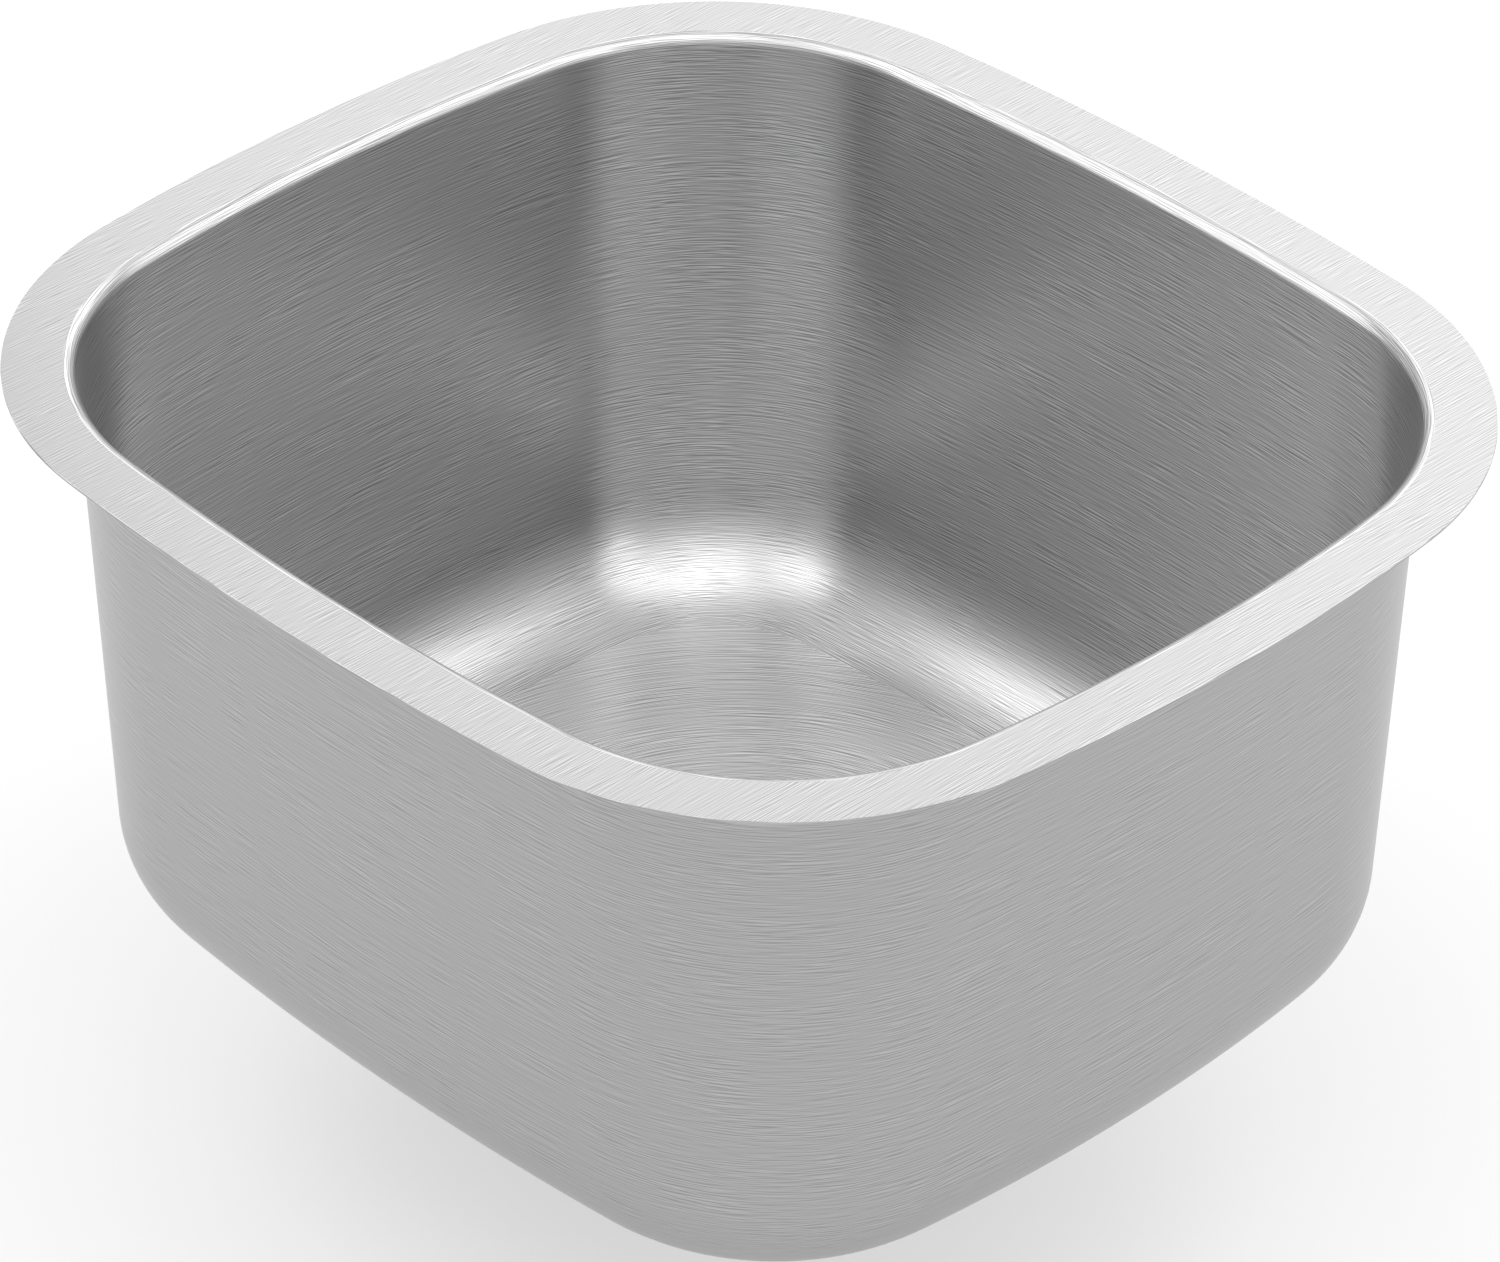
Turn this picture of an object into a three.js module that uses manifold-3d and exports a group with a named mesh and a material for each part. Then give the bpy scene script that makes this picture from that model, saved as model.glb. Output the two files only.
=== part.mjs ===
// An undermount kitchen sink: a bowl drawn from one sheet of stainless steel, with a flat flange that is
// clamped up against the underside of a worktop, sound-deadening pads under its floor, and the basket
// strainer that is fitted in its drain. Millimetres, +Z up, +X to the right and +Y to the back. The
// origin is the centre of the bowl's opening, in the plane of the flange's top face.
import * as THREE from "three";
import { mergeVertices } from "three/addons/utils/BufferGeometryUtils.js";
import loadManifold from "manifold-3d";

const wasm = await loadManifold();
wasm.setup();

const inch = 25.4;
const degree = Math.PI / 180;

// ---------------------------------------------------------------- driving dimensions

const fit = 0.3; // between a piece and what it rests on or is screwed to

// Bowl
const flangeWidth = 17 * inch; // left to right, over the flange
const flangeDepth = 18.5 * inch; // front to back, over the flange
const sideBow = 1280; // radius of the long arcs of the left and right edges
const frontBow = 830; // radius of the long arcs of the front and back edges
const flangeLand = 21.6; // flat width of the flange
const rimBend = 3.65; // radius inside the bend from flange to wall
const sheet = 0.95; // 20 gauge
const bowlDepth = 230; // flange's top face down to the level of the floor
const wallDraft = 2.4 * degree;
const coveRadius = 42.8; // between wall and floor
const floorLand = 3; // level strip round the floor, inside the cove
const floorCorner = 49; // radius of that strip's corners; every section outside it is concentric
const dishLand = 16; // level floor between that strip and the slope to the drain, at the nearest side
const dishBlend = 350; // radius between level floor and slope
const dishGap = 1; // from the dish's outer ring to the level strip
const floorFall = 4; // from the level floor down to the drain's recess
const recessDrop = 6; // from there down to the strainer's seat
const recessSlope = 60 * degree;
const recessBend = 2.5;
const recessClearance = 1; // round the strainer's flange
const drainHole = 3.5 * inch; // diameter

// Strainer body: flange, threaded shell, cone that the stopper seats on, cup and cross bars
const strainerSheet = 1;
const strainerBrim = 0.5 * inch; // how far its flange reaches past the drain hole
const brimBend = 0.6; // radius inside the bend at the flange's edge
const neckBend = 1.6; // radius inside the bend from flange to shell
const sealThickness = 2;
const sealMargin = 1; // from the seal to the turned-down brim
const shellClearance = 1.65; // from the shell to the drain hole
const shellLength = 31; // below the sink's seat
const coneWidth = 11.8;
const coneSlope = 40 * degree;
const coneBend = 2;
const cupDepth = 14;
const cupBend = 3;
const crossBars = 6;
const crossBarWidth = 4.2;
const socketLand = 4; // of the plate where the cross bars meet, round its hole

// Outlet of the strainer, and the coupling nut and washer that hold a waste pipe to it
const wastePipe = 1.5 * inch; // outside diameter
const pipeClearance = 0.4;
const outletWall = 3.75;
const outletLength = 23;
const outletFoot = 5.2; // how far its foot reaches out
const outletFootThickness = 1.6;
const couplingWall = 4.4;
const couplingHeight = 21;
const couplingLip = 2.2;
const couplingChamfer = 1.2;
const couplingRibs = 12;
const couplingRibRadius = 3;
const couplingRibReach = 1.5;
const pipeWasherThickness = 2;

// Gasket, ring and locknut that clamp the strainer from below
const gasketReach = 12.4; // past the drain hole, as are the next two
const frictionRingReach = 11;
const locknutReach = 6.5;
const gasketThickness = 4;
const frictionRingThickness = 1;
const locknutHeight = 14;
const locknutWeb = 4.5; // thickness of its flat flange
const locknutHub = 3.8; // wall of its hub
const locknutLugs = 8;
const locknutLugWidth = 9;
const locknutLugReach = 3.5;
const locknutLugRound = 1.2;

// Basket
const basketSheet = 0.8;
const basketClearance = 1.3; // from its rim to the shell
const basketLip = 3.5; // flat width of its rim
const basketLipTurn = 3.5; // how far the rim turns down
const basketRimBend = 0.8; // radius inside both bends of the rim
const basketTaper = 11; // on the radius, from mouth to floor
const basketHeight = 31;
const basketCorner = 4; // radius between its wall and floor
const basketSlots = 20;
const basketSlotWidth = 2.6;
const basketSlotMargin = 6.5; // from the slots' ends to the floor and to the rim
const basketHole = 3.4; // diameter of the holes in its floor
const basketHoleRings = [
  { radius: 11.5, count: 8 },
  { radius: 18, count: 12 },
];

// Post, knob, stopper and catch, which ride on the basket
const postRadius = 3.2;
const postNose = 2.5; // height of the taper at its lower end
const postTail = 4; // from the catch to the lower end
const collarReach = 2.8;
const collarHeight = 2;
const knobRise = 8; // of its top above the basket's rim
const knobHeight = 13;
const knobRadius = 9.5;
const knobWaist = 5.6;
const knobHead = 6; // height of its wide head
const knobRound = 2; // at the top of its head
const knobUnderRound = 1; // and at the underside
const knobSocket = 8;
const stopperThickness = 3.2;
const clampWasherRadius = 15;
const clampWasherThickness = 1.2;
const postNutAcross = 11; // across its flats
const postNutHeight = 5;
const catchWire = 1.6;
const catchGroove = 0.6; // depth of its groove in the post
const catchOpening = 2.4;

// Sound-deadening pads
const padThickness = 3;
const padCorner = 12;
const padMargin = 5; // from the drain's recess to every pad, and from the floor's edge
const padCornerKeep = 62; // side pads end this far before the floor's front and back
const padSpacing = 18; // between a side pad and the front or back pad

// Facets
const bowSteps = 4; // in half of a long edge
const cornerSteps = 6;
const wallTurnStep = 22 * degree;
const bendTurnStep = 45 * degree;
const roundSteps = 32; // round the drain's parts
const postSteps = 18; // round the post and what is on it
const smallRoundSteps = 8; // round holes, ribs and wire
const cornerArcSteps = 2; // in each quarter circle of a corner or of a slot's end
const weld = 1e-4; // points nearer than this are one

// ---------------------------------------------------------------- worked-out sizes

const halfWidth = flangeWidth / 2;
const halfDepth = flangeDepth / 2;
const wallTurn = 90 * degree - wallDraft;
const wallTop = flangeLand + (rimBend + sheet) * Math.tan(wallTurn / 2);
const wallFoot = wallTop + bowlDepth * Math.tan(wallDraft);
const floorInset = wallFoot + coveRadius * Math.tan(wallTurn / 2) + floorLand;
const flangeCorner = floorCorner + floorInset;

const drainRadius = drainHole / 2;
const strainerRim = drainRadius + strainerBrim;
const stepFoot = strainerRim + recessClearance + recessBend * Math.tan(recessSlope / 2);
const stepTop = stepFoot + recessDrop / Math.tan(recessSlope);
const dishEdge = Math.min(halfWidth, halfDepth) - floorInset - dishGap;
const dishStart = dishEdge - dishLand;
const seat = -bowlDepth - floorFall - recessDrop;

// From here on, heights in the strainer count from the sink's seat, and those in the basket from the
// underside of its floor.
const shellOuter = drainRadius - shellClearance;
const shellInner = shellOuter - strainerSheet;
const flangeUnder = sealThickness + 2 * fit;
const strainerTop = flangeUnder + strainerSheet;
const cupInner = shellInner - coneWidth;
const coneTop = -shellLength;
const coneFoot = coneTop - coneWidth * Math.tan(coneSlope);
const plateTop = coneFoot - cupDepth;
const grooveRadius = postRadius - catchGroove;
const catchRadius = grooveRadius + fit + catchWire / 2;
const socketHole = catchRadius + catchWire / 2 + fit;
const windowInner = socketHole + socketLand;
const pipeBore = wastePipe / 2 + pipeClearance;
const outletThread = pipeBore + outletWall;
const outletTop = plateTop - strainerSheet - fit;
const outletEnd = outletTop - outletLength;
const couplingInner = outletThread + fit;
const couplingOuter = couplingInner + couplingWall;

const gasketTop = -sheet - fit;
const frictionRingTop = gasketTop - gasketThickness - fit;
const locknutTop = frictionRingTop - frictionRingThickness - fit;
const locknutBore = shellOuter + fit;
const locknutRadius = drainRadius + locknutReach;

const stopperMiddle = (coneTop + coneFoot) / 2;
const stopperRadius = (shellInner + cupInner) / 2 - fit / Math.sin(coneSlope);
const basketSeat = stopperMiddle + stopperThickness / 2 + fit;
const basketRim = shellInner - basketClearance;
const basketMouth = basketRim - basketLip;
const basketFloor = basketMouth - basketTaper;
const postBore = postRadius + fit;
const catchHeight = plateTop - strainerSheet / 2 - basketSeat;
const knobBase = basketHeight + knobRise - knobHeight;

// ---------------------------------------------------------------- sections of bent sheet

// The face of a bent sheet in section, from its corners [u, v, radius] in the order they are met. It
// gives points on the face, and the way the face looks at each: to the left of the run of corners.
// A corner without a radius is sharp, and looks as far along its mitre as both faces need.
function bent(corners, turnStep = bendTurnStep) {
  const places = corners.map(([u, v]) => new THREE.Vector2(u, v));
  const runs = places.slice(1).map((place, i) => place.clone().sub(places[i]).normalize());
  const origin = new THREE.Vector2();
  return places.flatMap((place, i) => {
    const arriving = runs[Math.max(i - 1, 0)];
    const leaving = runs[Math.min(i, runs.length - 1)];
    const turn = Math.atan2(arriving.cross(leaving), arriving.dot(leaving));
    const before = arriving.clone().rotateAround(origin, 90 * degree);
    const radius = corners[i][2] ?? 0;
    if (radius === 0 || turn === 0) {
      const after = leaving.clone().rotateAround(origin, 90 * degree);
      const mitre = before.clone().add(after).divideScalar(1 + before.dot(after));
      return [{ place, facing: mitre }];
    }
    const steps = Math.max(1, Math.round(Math.abs(turn) / turnStep));
    const start = place.clone().addScaledVector(arriving, -radius * Math.tan(Math.abs(turn) / 2));
    const centre = start.clone().addScaledVector(before, radius * Math.sign(turn));
    return Array.from({ length: steps + 1 }, (_, step) => {
      const facing = before.clone().rotateAround(origin, (turn * step) / steps);
      return { place: centre.clone().addScaledVector(facing, -radius * Math.sign(turn)), facing };
    });
  });
}

// The same run of points, moved back from the face by a distance.
function behind(face, distance) {
  return face.map(({ place, facing }) => place.clone().addScaledVector(facing, -distance).toArray());
}

// The whole outline of the sheet in section.
function sheetOutline(face, thickness) {
  return [...behind(face, 0), ...behind(face, thickness).reverse()];
}

// ---------------------------------------------------------------- geometry helpers

// An outline of [radius, height] points, turned about the Z axis. An outline that doesn't start and end
// on the axis is closed on itself.
function turned(outline, steps = roundSteps) {
  const points = outline.map(([radius, height]) => new THREE.Vector2(radius, height));
  if (THREE.ShapeUtils.area(points) < 0) points.reverse();
  if (points[0].x > 0) points.push(points[0].clone());
  return new THREE.LatheGeometry(points, steps).rotateX(90 * degree);
}

// A ring with a rectangular section.
function ring(inner, outer, top, thickness, steps) {
  const bottom = top - thickness;
  return turned([[inner, bottom], [outer, bottom], [outer, top], [inner, top]], steps);
}

// A flat outline in plan, extruded down from a height, with a hole where one is given.
function extruded(outline, top, thickness, hole) {
  const shape = new THREE.Shape(outline);
  if (hole) shape.holes.push(new THREE.Path(hole));
  const options = { depth: thickness, bevelEnabled: false };
  return new THREE.ExtrudeGeometry(shape, options).translate(0, 0, top - thickness);
}

// Points along an arc, in quarters of a circle from the first axis, with both its ends.
function arc(x, y, radius, from, to) {
  const steps = (to - from) * cornerArcSteps;
  return Array.from({ length: steps + 1 }, (_, i) => {
    const angle = (from + i / cornerArcSteps) * 90 * degree;
    return new THREE.Vector2(x + radius * Math.cos(angle), y + radius * Math.sin(angle));
  });
}

// A rectangle in plan with round corners, between two opposite corners.
function roundedRectangle(left, front, right, back, radius) {
  return [
    ...arc(right - radius, back - radius, radius, 0, 1),
    ...arc(left + radius, back - radius, radius, 1, 2),
    ...arc(left + radius, front + radius, radius, 2, 3),
    ...arc(right - radius, front + radius, radius, 3, 4),
  ];
}

// A long hole with round ends, along the second axis.
function slot(width, low, high) {
  const radius = width / 2;
  return [...arc(0, high - radius, radius, 0, 2), ...arc(0, low + radius, radius, 2, 4)];
}

// A regular outline of as many points as it has sides, about a centre on the first axis.
function polygon(x, radius, sides) {
  return Array.from({ length: sides }, (_, i) => {
    const angle = (i * 360 * degree) / sides;
    return new THREE.Vector2(x + radius * Math.cos(angle), radius * Math.sin(angle));
  });
}

// A closed geometry as a solid that can be cut and joined.
function solidOf(geometry) {
  const bare = new THREE.BufferGeometry();
  bare.setAttribute("position", geometry.getAttribute("position"));
  bare.setIndex(geometry.index);
  const merged = mergeVertices(bare, weld);
  const corners = Array.from(merged.index.array);
  const triangles = corners.flatMap((_, i) => (i % 3 ? [] : [corners.slice(i, i + 3)]));
  return new wasm.Manifold(
    new wasm.Mesh({
      numProp: 3,
      vertProperties: merged.getAttribute("position").array,
      triVerts: new Uint32Array(triangles.filter((corner) => new Set(corner).size === 3).flat()),
    }),
  );
}

function geometryOf(solid) {
  const { vertProperties, triVerts } = solid.getMesh();
  const geometry = new THREE.BufferGeometry();
  geometry.setAttribute("position", new THREE.BufferAttribute(vertProperties, 3));
  geometry.setIndex(new THREE.BufferAttribute(triVerts, 1));
  geometry.computeVertexNormals();
  return geometry;
}

// One geometry and its copies, set evenly round the Z axis, as one solid.
function around(geometry, count) {
  const solid = solidOf(geometry);
  const copies = Array.from({ length: count }, (_, i) => solid.rotate([0, 0, (360 * i) / count]));
  return wasm.Manifold.union(copies);
}

function metal(color, roughness) {
  return new THREE.MeshStandardMaterial({ color, metalness: 1, roughness });
}

function dull(color, roughness) {
  return new THREE.MeshStandardMaterial({ color, metalness: 0, roughness });
}

const brushedSteel = metal("#b9babc", 0.34);
const polishedSteel = metal("#d2d3d5", 0.16);
const castZinc = metal("#a3a6a8", 0.5);
const blackRubber = dull("#1d1e20", 0.85);
const greyRubber = dull("#4a4c4f", 0.95);
const fibreBoard = dull("#8d7f69", 0.95);
const whiteNylon = dull("#e7e4da", 0.5);

function part(name, geometry, material) {
  const mesh = new THREE.Mesh(geometry, material);
  mesh.name = name;
  return mesh;
}

// ---------------------------------------------------------------- bowl

// The flange's edge in plan: four long arcs and four corner arcs that run into each other. Each entry
// holds a point and the direction into the bowl. Every other section of the wall is this edge, offset.
function flangeEdge() {
  const sideCentre = new THREE.Vector2(halfWidth - sideBow, 0);
  const backCentre = new THREE.Vector2(0, halfDepth - frontBow);
  // The corner arc touches both long arcs from inside, so its centre is this far from theirs.
  const fromSide = sideBow - flangeCorner;
  const fromBack = frontBow - flangeCorner;
  const apart = backCentre.clone().sub(sideCentre);
  const along = (fromSide ** 2 - fromBack ** 2 + apart.lengthSq()) / (2 * apart.length());
  const across = Math.sqrt(fromSide ** 2 - along ** 2);
  const line = apart.normalize();
  const corner = sideCentre.clone().addScaledVector(line, along);
  corner.addScaledVector(new THREE.Vector2(-line.y, line.x), across);
  const sideEnd = corner.clone().sub(sideCentre).angle();
  const backStart = corner.clone().sub(backCentre).angle();

  const arcs = [
    { centre: sideCentre, radius: sideBow, from: 0, to: sideEnd, steps: bowSteps },
    { centre: corner, radius: flangeCorner, from: sideEnd, to: backStart, steps: cornerSteps },
    { centre: backCentre, radius: frontBow, from: backStart, to: 90 * degree, steps: bowSteps },
  ];
  const quarter = arcs.flatMap(({ centre, radius, from, to, steps }) =>
    Array.from({ length: steps }, (_, i) => {
      const angle = from + ((to - from) * i) / steps;
      const out = new THREE.Vector2(Math.cos(angle), Math.sin(angle));
      return { point: centre.clone().addScaledVector(out, radius), inward: out.negate() };
    }),
  );
  quarter.push({ point: new THREE.Vector2(0, halfDepth), inward: new THREE.Vector2(0, -1) });

  const mirrored = (entries, x, y) => {
    const scale = new THREE.Vector2(x, y);
    return entries.map(({ point, inward }) => ({
      point: point.clone().multiply(scale),
      inward: inward.clone().multiply(scale),
    }));
  };
  const backwards = [...quarter].reverse();
  return [
    ...quarter,
    ...mirrored(backwards, -1, 1).slice(1),
    ...mirrored(quarter, -1, -1).slice(1),
    ...mirrored(backwards, 1, -1).slice(1, -1),
  ];
}

const edge = flangeEdge();

// Across the wall, as [distance in from the flange's edge, height].
const wallFace = bent(
  [
    [0, 0],
    [wallTop, 0, rimBend + sheet],
    [wallFoot, -bowlDepth, coveRadius],
    [floorInset, -bowlDepth],
  ],
  wallTurnStep,
);

// The floor's slope to the drain and the recess there, as [radius, height].
const recessCorners = [
  [drainRadius, seat],
  [stepFoot, seat, recessBend],
  [stepTop, seat + recessDrop, recessBend + sheet],
];
const dishCorners = [
  [dishStart, -bowlDepth, dishBlend],
  [dishEdge, -bowlDepth],
];
const drainFace = bent([...recessCorners, ...dishCorners]);

// Rings of points on the sheet, from the flange's edge to the drain hole, at a depth behind its face.
function sheetRings(depth) {
  const wallRings = behind(wallFace, depth).map(([inset, height]) =>
    edge.map(({ point, inward }) => {
      const { x, y } = point.clone().addScaledVector(inward, inset);
      return [x, y, height];
    }),
  );
  const drainRings = behind(drainFace, depth).map(([radius, height]) =>
    edge.map(({ point, inward }) => {
      const { x, y } = point.clone().addScaledVector(inward, floorInset).setLength(radius);
      return [x, y, height];
    }),
  );
  return [...wallRings, ...drainRings.reverse()];
}

// A skin over rings of points that follow each other and close on the first one again.
function skinned(rings) {
  const count = rings[0].length;
  const index = rings.flatMap((_, r) => {
    const near = r * count;
    const far = ((r + 1) % rings.length) * count;
    return Array.from({ length: count }, (__, i) => {
      const next = (i + 1) % count;
      return [near + i, near + next, far + next, near + i, far + next, far + i];
    }).flat();
  });
  const geometry = new THREE.BufferGeometry();
  geometry.setAttribute("position", new THREE.Float32BufferAttribute(rings.flat(2), 3));
  geometry.setIndex(index);
  geometry.computeVertexNormals();
  return geometry;
}

function bowlShell() {
  const rings = [...sheetRings(0), ...sheetRings(sheet).reverse()];
  return part("bowl_shell", skinned(rings), brushedSteel);
}

// Rubber pads glued under the floor on the four sides of the drain. Each is cut from a slab that follows
// the floor's underside.
function soundPads() {
  const floorHalfWidth = halfWidth - floorInset;
  const floorHalfDepth = halfDepth - floorInset;
  const reach = Math.hypot(floorHalfWidth, floorHalfDepth);
  const floorFace = bent([recessCorners[2].slice(0, 2), dishCorners[0], [reach, -bowlDepth]]);
  const glued = sheet + fit;
  const slab = solidOf(
    turned([...behind(floorFace, glued), ...behind(floorFace, glued + padThickness).reverse()]),
  );

  const near = stepTop + padMargin;
  const right = floorHalfWidth - padMargin;
  const back = floorHalfDepth - padMargin;
  const sideHalf = floorHalfDepth - padCornerKeep;
  const endHalf = near - padSpacing;
  const places = {
    pad_right: [near, -sideHalf, right, sideHalf],
    pad_left: [-right, -sideHalf, -near, sideHalf],
    pad_back: [-endHalf, near, endHalf, back],
    pad_front: [-endHalf, -back, endHalf, -near],
  };
  return Object.entries(places).map(([name, corners]) => {
    const outline = roundedRectangle(...corners, padCorner);
    const block = solidOf(extruded(outline, -bowlDepth, bowlDepth));
    return part(name, geometryOf(slab.intersect(block)), greyRubber);
  });
}

// ---------------------------------------------------------------- strainer

// Soft ring between the sink's seat and the strainer's flange.
function strainerSeal() {
  const outer = strainerRim - strainerSheet - sealMargin;
  return part("strainer_seal", ring(drainRadius, outer, fit + sealThickness, sealThickness), whiteNylon);
}

// One sheet from the socket in the middle of its cross bars, up the cup, cone and shell, to the brim.
function strainerBody() {
  const face = bent([
    [socketHole, plateTop],
    [cupInner, plateTop, cupBend],
    [cupInner, coneFoot, coneBend + strainerSheet],
    [shellInner, coneTop, coneBend],
    [shellInner, strainerTop, neckBend + strainerSheet],
    [strainerRim, strainerTop, brimBend + strainerSheet],
    [strainerRim, fit],
  ]);
  const body = solidOf(turned(sheetOutline(face, strainerSheet)));
  // The windows between the cross bars: a ring, less the bars. Both pass the plate on both its faces.
  const cutTop = plateTop + strainerSheet;
  const cutDepth = 3 * strainerSheet;
  const bar = new THREE.BoxGeometry(cupInner, crossBarWidth, cutDepth);
  bar.translate(cupInner / 2, 0, cutTop - cutDepth / 2);
  const cut = solidOf(ring(windowInner, pipeBore, cutTop, cutDepth));
  const windows = cut.subtract(around(bar, crossBars));
  return part("strainer_body", geometryOf(body.subtract(windows)), polishedSteel);
}

function strainerOutlet() {
  const footUnder = outletTop - outletFootThickness;
  const outline = [
    [pipeBore, outletEnd],
    [outletThread, outletEnd],
    [outletThread, footUnder],
    [outletThread + outletFoot, footUnder],
    [outletThread + outletFoot, outletTop],
    [pipeBore, outletTop],
  ];
  return part("strainer_outlet", turned(outline), castZinc);
}

function drainGasket() {
  const geometry = ring(locknutBore, drainRadius + gasketReach, gasketTop, gasketThickness);
  return part("drain_gasket", geometry, blackRubber);
}

function frictionRing() {
  const outer = drainRadius + frictionRingReach;
  const geometry = ring(locknutBore, outer, frictionRingTop, frictionRingThickness);
  return part("friction_ring", geometry, fibreBoard);
}

// Flat flange, hub, and lugs round it that a spanner turns it by.
function locknut() {
  const bottom = locknutTop - locknutHeight;
  const webUnder = locknutTop - locknutWeb;
  const hub = locknutBore + locknutHub;
  const body = turned([
    [locknutBore, bottom],
    [hub, bottom],
    [hub, webUnder],
    [locknutRadius, webUnder],
    [locknutRadius, locknutTop],
    [locknutBore, locknutTop],
  ]);
  const lug = roundedRectangle(
    locknutBore + locknutHub / 2,
    -locknutLugWidth / 2,
    locknutRadius + locknutLugReach,
    locknutLugWidth / 2,
    locknutLugRound,
  );
  const lugs = around(extruded(lug, locknutTop, locknutHeight), locknutLugs);
  return part("locknut", geometryOf(solidOf(body).add(lugs)), castZinc);
}

// Nut with a lip that a waste pipe passes through, and ribs round it that a hand turns it by.
function couplingNut() {
  const lipTop = outletEnd - pipeWasherThickness - 2 * fit;
  const bottom = lipTop - couplingLip;
  const top = bottom + couplingHeight;
  const body = turned([
    [pipeBore, bottom],
    [couplingOuter - couplingChamfer, bottom],
    [couplingOuter, bottom + couplingChamfer],
    [couplingOuter, top],
    [couplingInner, top],
    [couplingInner, lipTop],
    [pipeBore, lipTop],
  ]);
  const ribCentre = couplingOuter + couplingRibReach - couplingRibRadius;
  const rib = polygon(ribCentre, couplingRibRadius, smallRoundSteps);
  const height = couplingHeight - couplingChamfer;
  const ribs = around(extruded(rib, top, height), couplingRibs);
  return part("coupling_nut", geometryOf(solidOf(body).add(ribs)), castZinc);
}

function pipeWasher() {
  const geometry = ring(pipeBore, outletThread, outletEnd - fit, pipeWasherThickness);
  return part("pipe_washer", geometry, whiteNylon);
}

// ---------------------------------------------------------------- basket

// A perforated cup: slots round its wall, holes in its floor and a rim that turns down.
function basketCup() {
  const face = bent([
    [postBore, basketSheet],
    [basketFloor, basketSheet, basketCorner],
    [basketMouth, basketHeight, basketRimBend + basketSheet],
    [basketRim, basketHeight, basketRimBend + basketSheet],
    [basketRim, basketHeight - basketLipTurn],
  ]);
  const cup = solidOf(turned(sheetOutline(face, basketSheet)));

  const opening = slot(basketSlotWidth, basketSlotMargin, basketHeight - basketSlotMargin);
  const cutter = extruded(opening, basketRim, basketRim - basketFloor / 2).rotateX(90 * degree);
  const holes = basketHoleRings.map(({ radius, count }) => {
    const hole = polygon(radius, basketHole / 2, smallRoundSteps);
    return around(extruded(hole, 2 * basketSheet, 3 * basketSheet), count);
  });
  const pierced = wasm.Manifold.union([around(cutter, basketSlots), ...holes]);
  return part("basket_cup", geometryOf(cup.subtract(pierced)), polishedSteel);
}

// Turned post: a nose and a groove for the catch below, a collar on the basket's floor, and a spigot
// in the knob.
function basketPost() {
  const tail = catchHeight - postTail;
  const grooveHalf = catchWire / 2 + fit;
  const collar = basketSheet + fit;
  const outline = [
    [0, tail],
    [postRadius / 2, tail],
    [postRadius, tail + postNose],
    [postRadius, catchHeight - grooveHalf],
    [grooveRadius, catchHeight - grooveHalf],
    [grooveRadius, catchHeight + grooveHalf],
    [postRadius, catchHeight + grooveHalf],
    [postRadius, collar],
    [postRadius + collarReach, collar],
    [postRadius + collarReach, collar + collarHeight],
    [postRadius, collar + collarHeight],
    [postRadius, knobBase + knobSocket - fit],
    [0, knobBase + knobSocket - fit],
  ];
  return part("basket_post", turned(outline, postSteps), polishedSteel);
}

function basketKnob() {
  const top = knobBase + knobHeight;
  const face = bent([
    [0, knobBase + knobSocket],
    [postBore, knobBase + knobSocket],
    [postBore, knobBase],
    [knobWaist, knobBase],
    [knobWaist, top - knobHead],
    [knobRadius, top - knobHead, knobUnderRound],
    [knobRadius, top, knobRound],
    [0, top],
  ]);
  return part("basket_knob", turned(behind(face, 0), postSteps), polishedSteel);
}

// Rubber disc whose edge lies on the strainer's cone.
function basketStopper() {
  const top = -fit;
  const bottom = top - stopperThickness;
  const flare = stopperThickness / 2 / Math.tan(coneSlope);
  const outline = [
    [postBore, bottom],
    [stopperRadius - flare, bottom],
    [stopperRadius + flare, top],
    [postBore, top],
  ];
  return part("basket_stopper", turned(outline), blackRubber);
}

const clampWasherTop = -stopperThickness - 2 * fit;
const postNutTop = clampWasherTop - clampWasherThickness - fit;

function clampWasher() {
  const geometry = ring(postBore, clampWasherRadius, clampWasherTop, clampWasherThickness, postSteps);
  return part("clamp_washer", geometry, polishedSteel);
}

function postNut() {
  const hexagon = polygon(0, postNutAcross / 2 / Math.cos(30 * degree), 6);
  const hole = polygon(0, postBore, postSteps);
  return part("post_nut", extruded(hexagon, postNutTop, postNutHeight, hole), polishedSteel);
}

// Open ring of spring wire, as it is when the socket holds it closed.
function postCatch() {
  const section = polygon(catchRadius, catchWire / 2, smallRoundSteps);
  const wire = turned(section.map(({ x, y }) => [x, y + catchHeight]), postSteps);
  const opening = new THREE.BoxGeometry(socketHole, catchOpening, 2 * catchWire);
  opening.translate(socketHole / 2, 0, catchHeight);
  return part("post_catch", geometryOf(solidOf(wire).subtract(solidOf(opening))), polishedSteel);
}

// ---------------------------------------------------------------- assembly

const basket = new THREE.Group();
basket.position.z = basketSeat;
basket.add(basketCup(), basketPost(), basketKnob(), basketStopper(), clampWasher(), postNut(), postCatch());

const strainer = new THREE.Group();
strainer.position.z = seat;
strainer.add(strainerSeal(), strainerBody(), strainerOutlet(), couplingNut(), pipeWasher());
strainer.add(drainGasket(), frictionRing(), locknut(), basket);

const sink = new THREE.Group();
sink.add(bowlShell(), ...soundPads(), strainer);

export default sink;
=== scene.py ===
"""An undermount kitchen sink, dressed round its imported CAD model. Metres, +Z up, +Y to the back."""

import math

import bmesh
import bpy
from mathutils import Matrix, Vector


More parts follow.
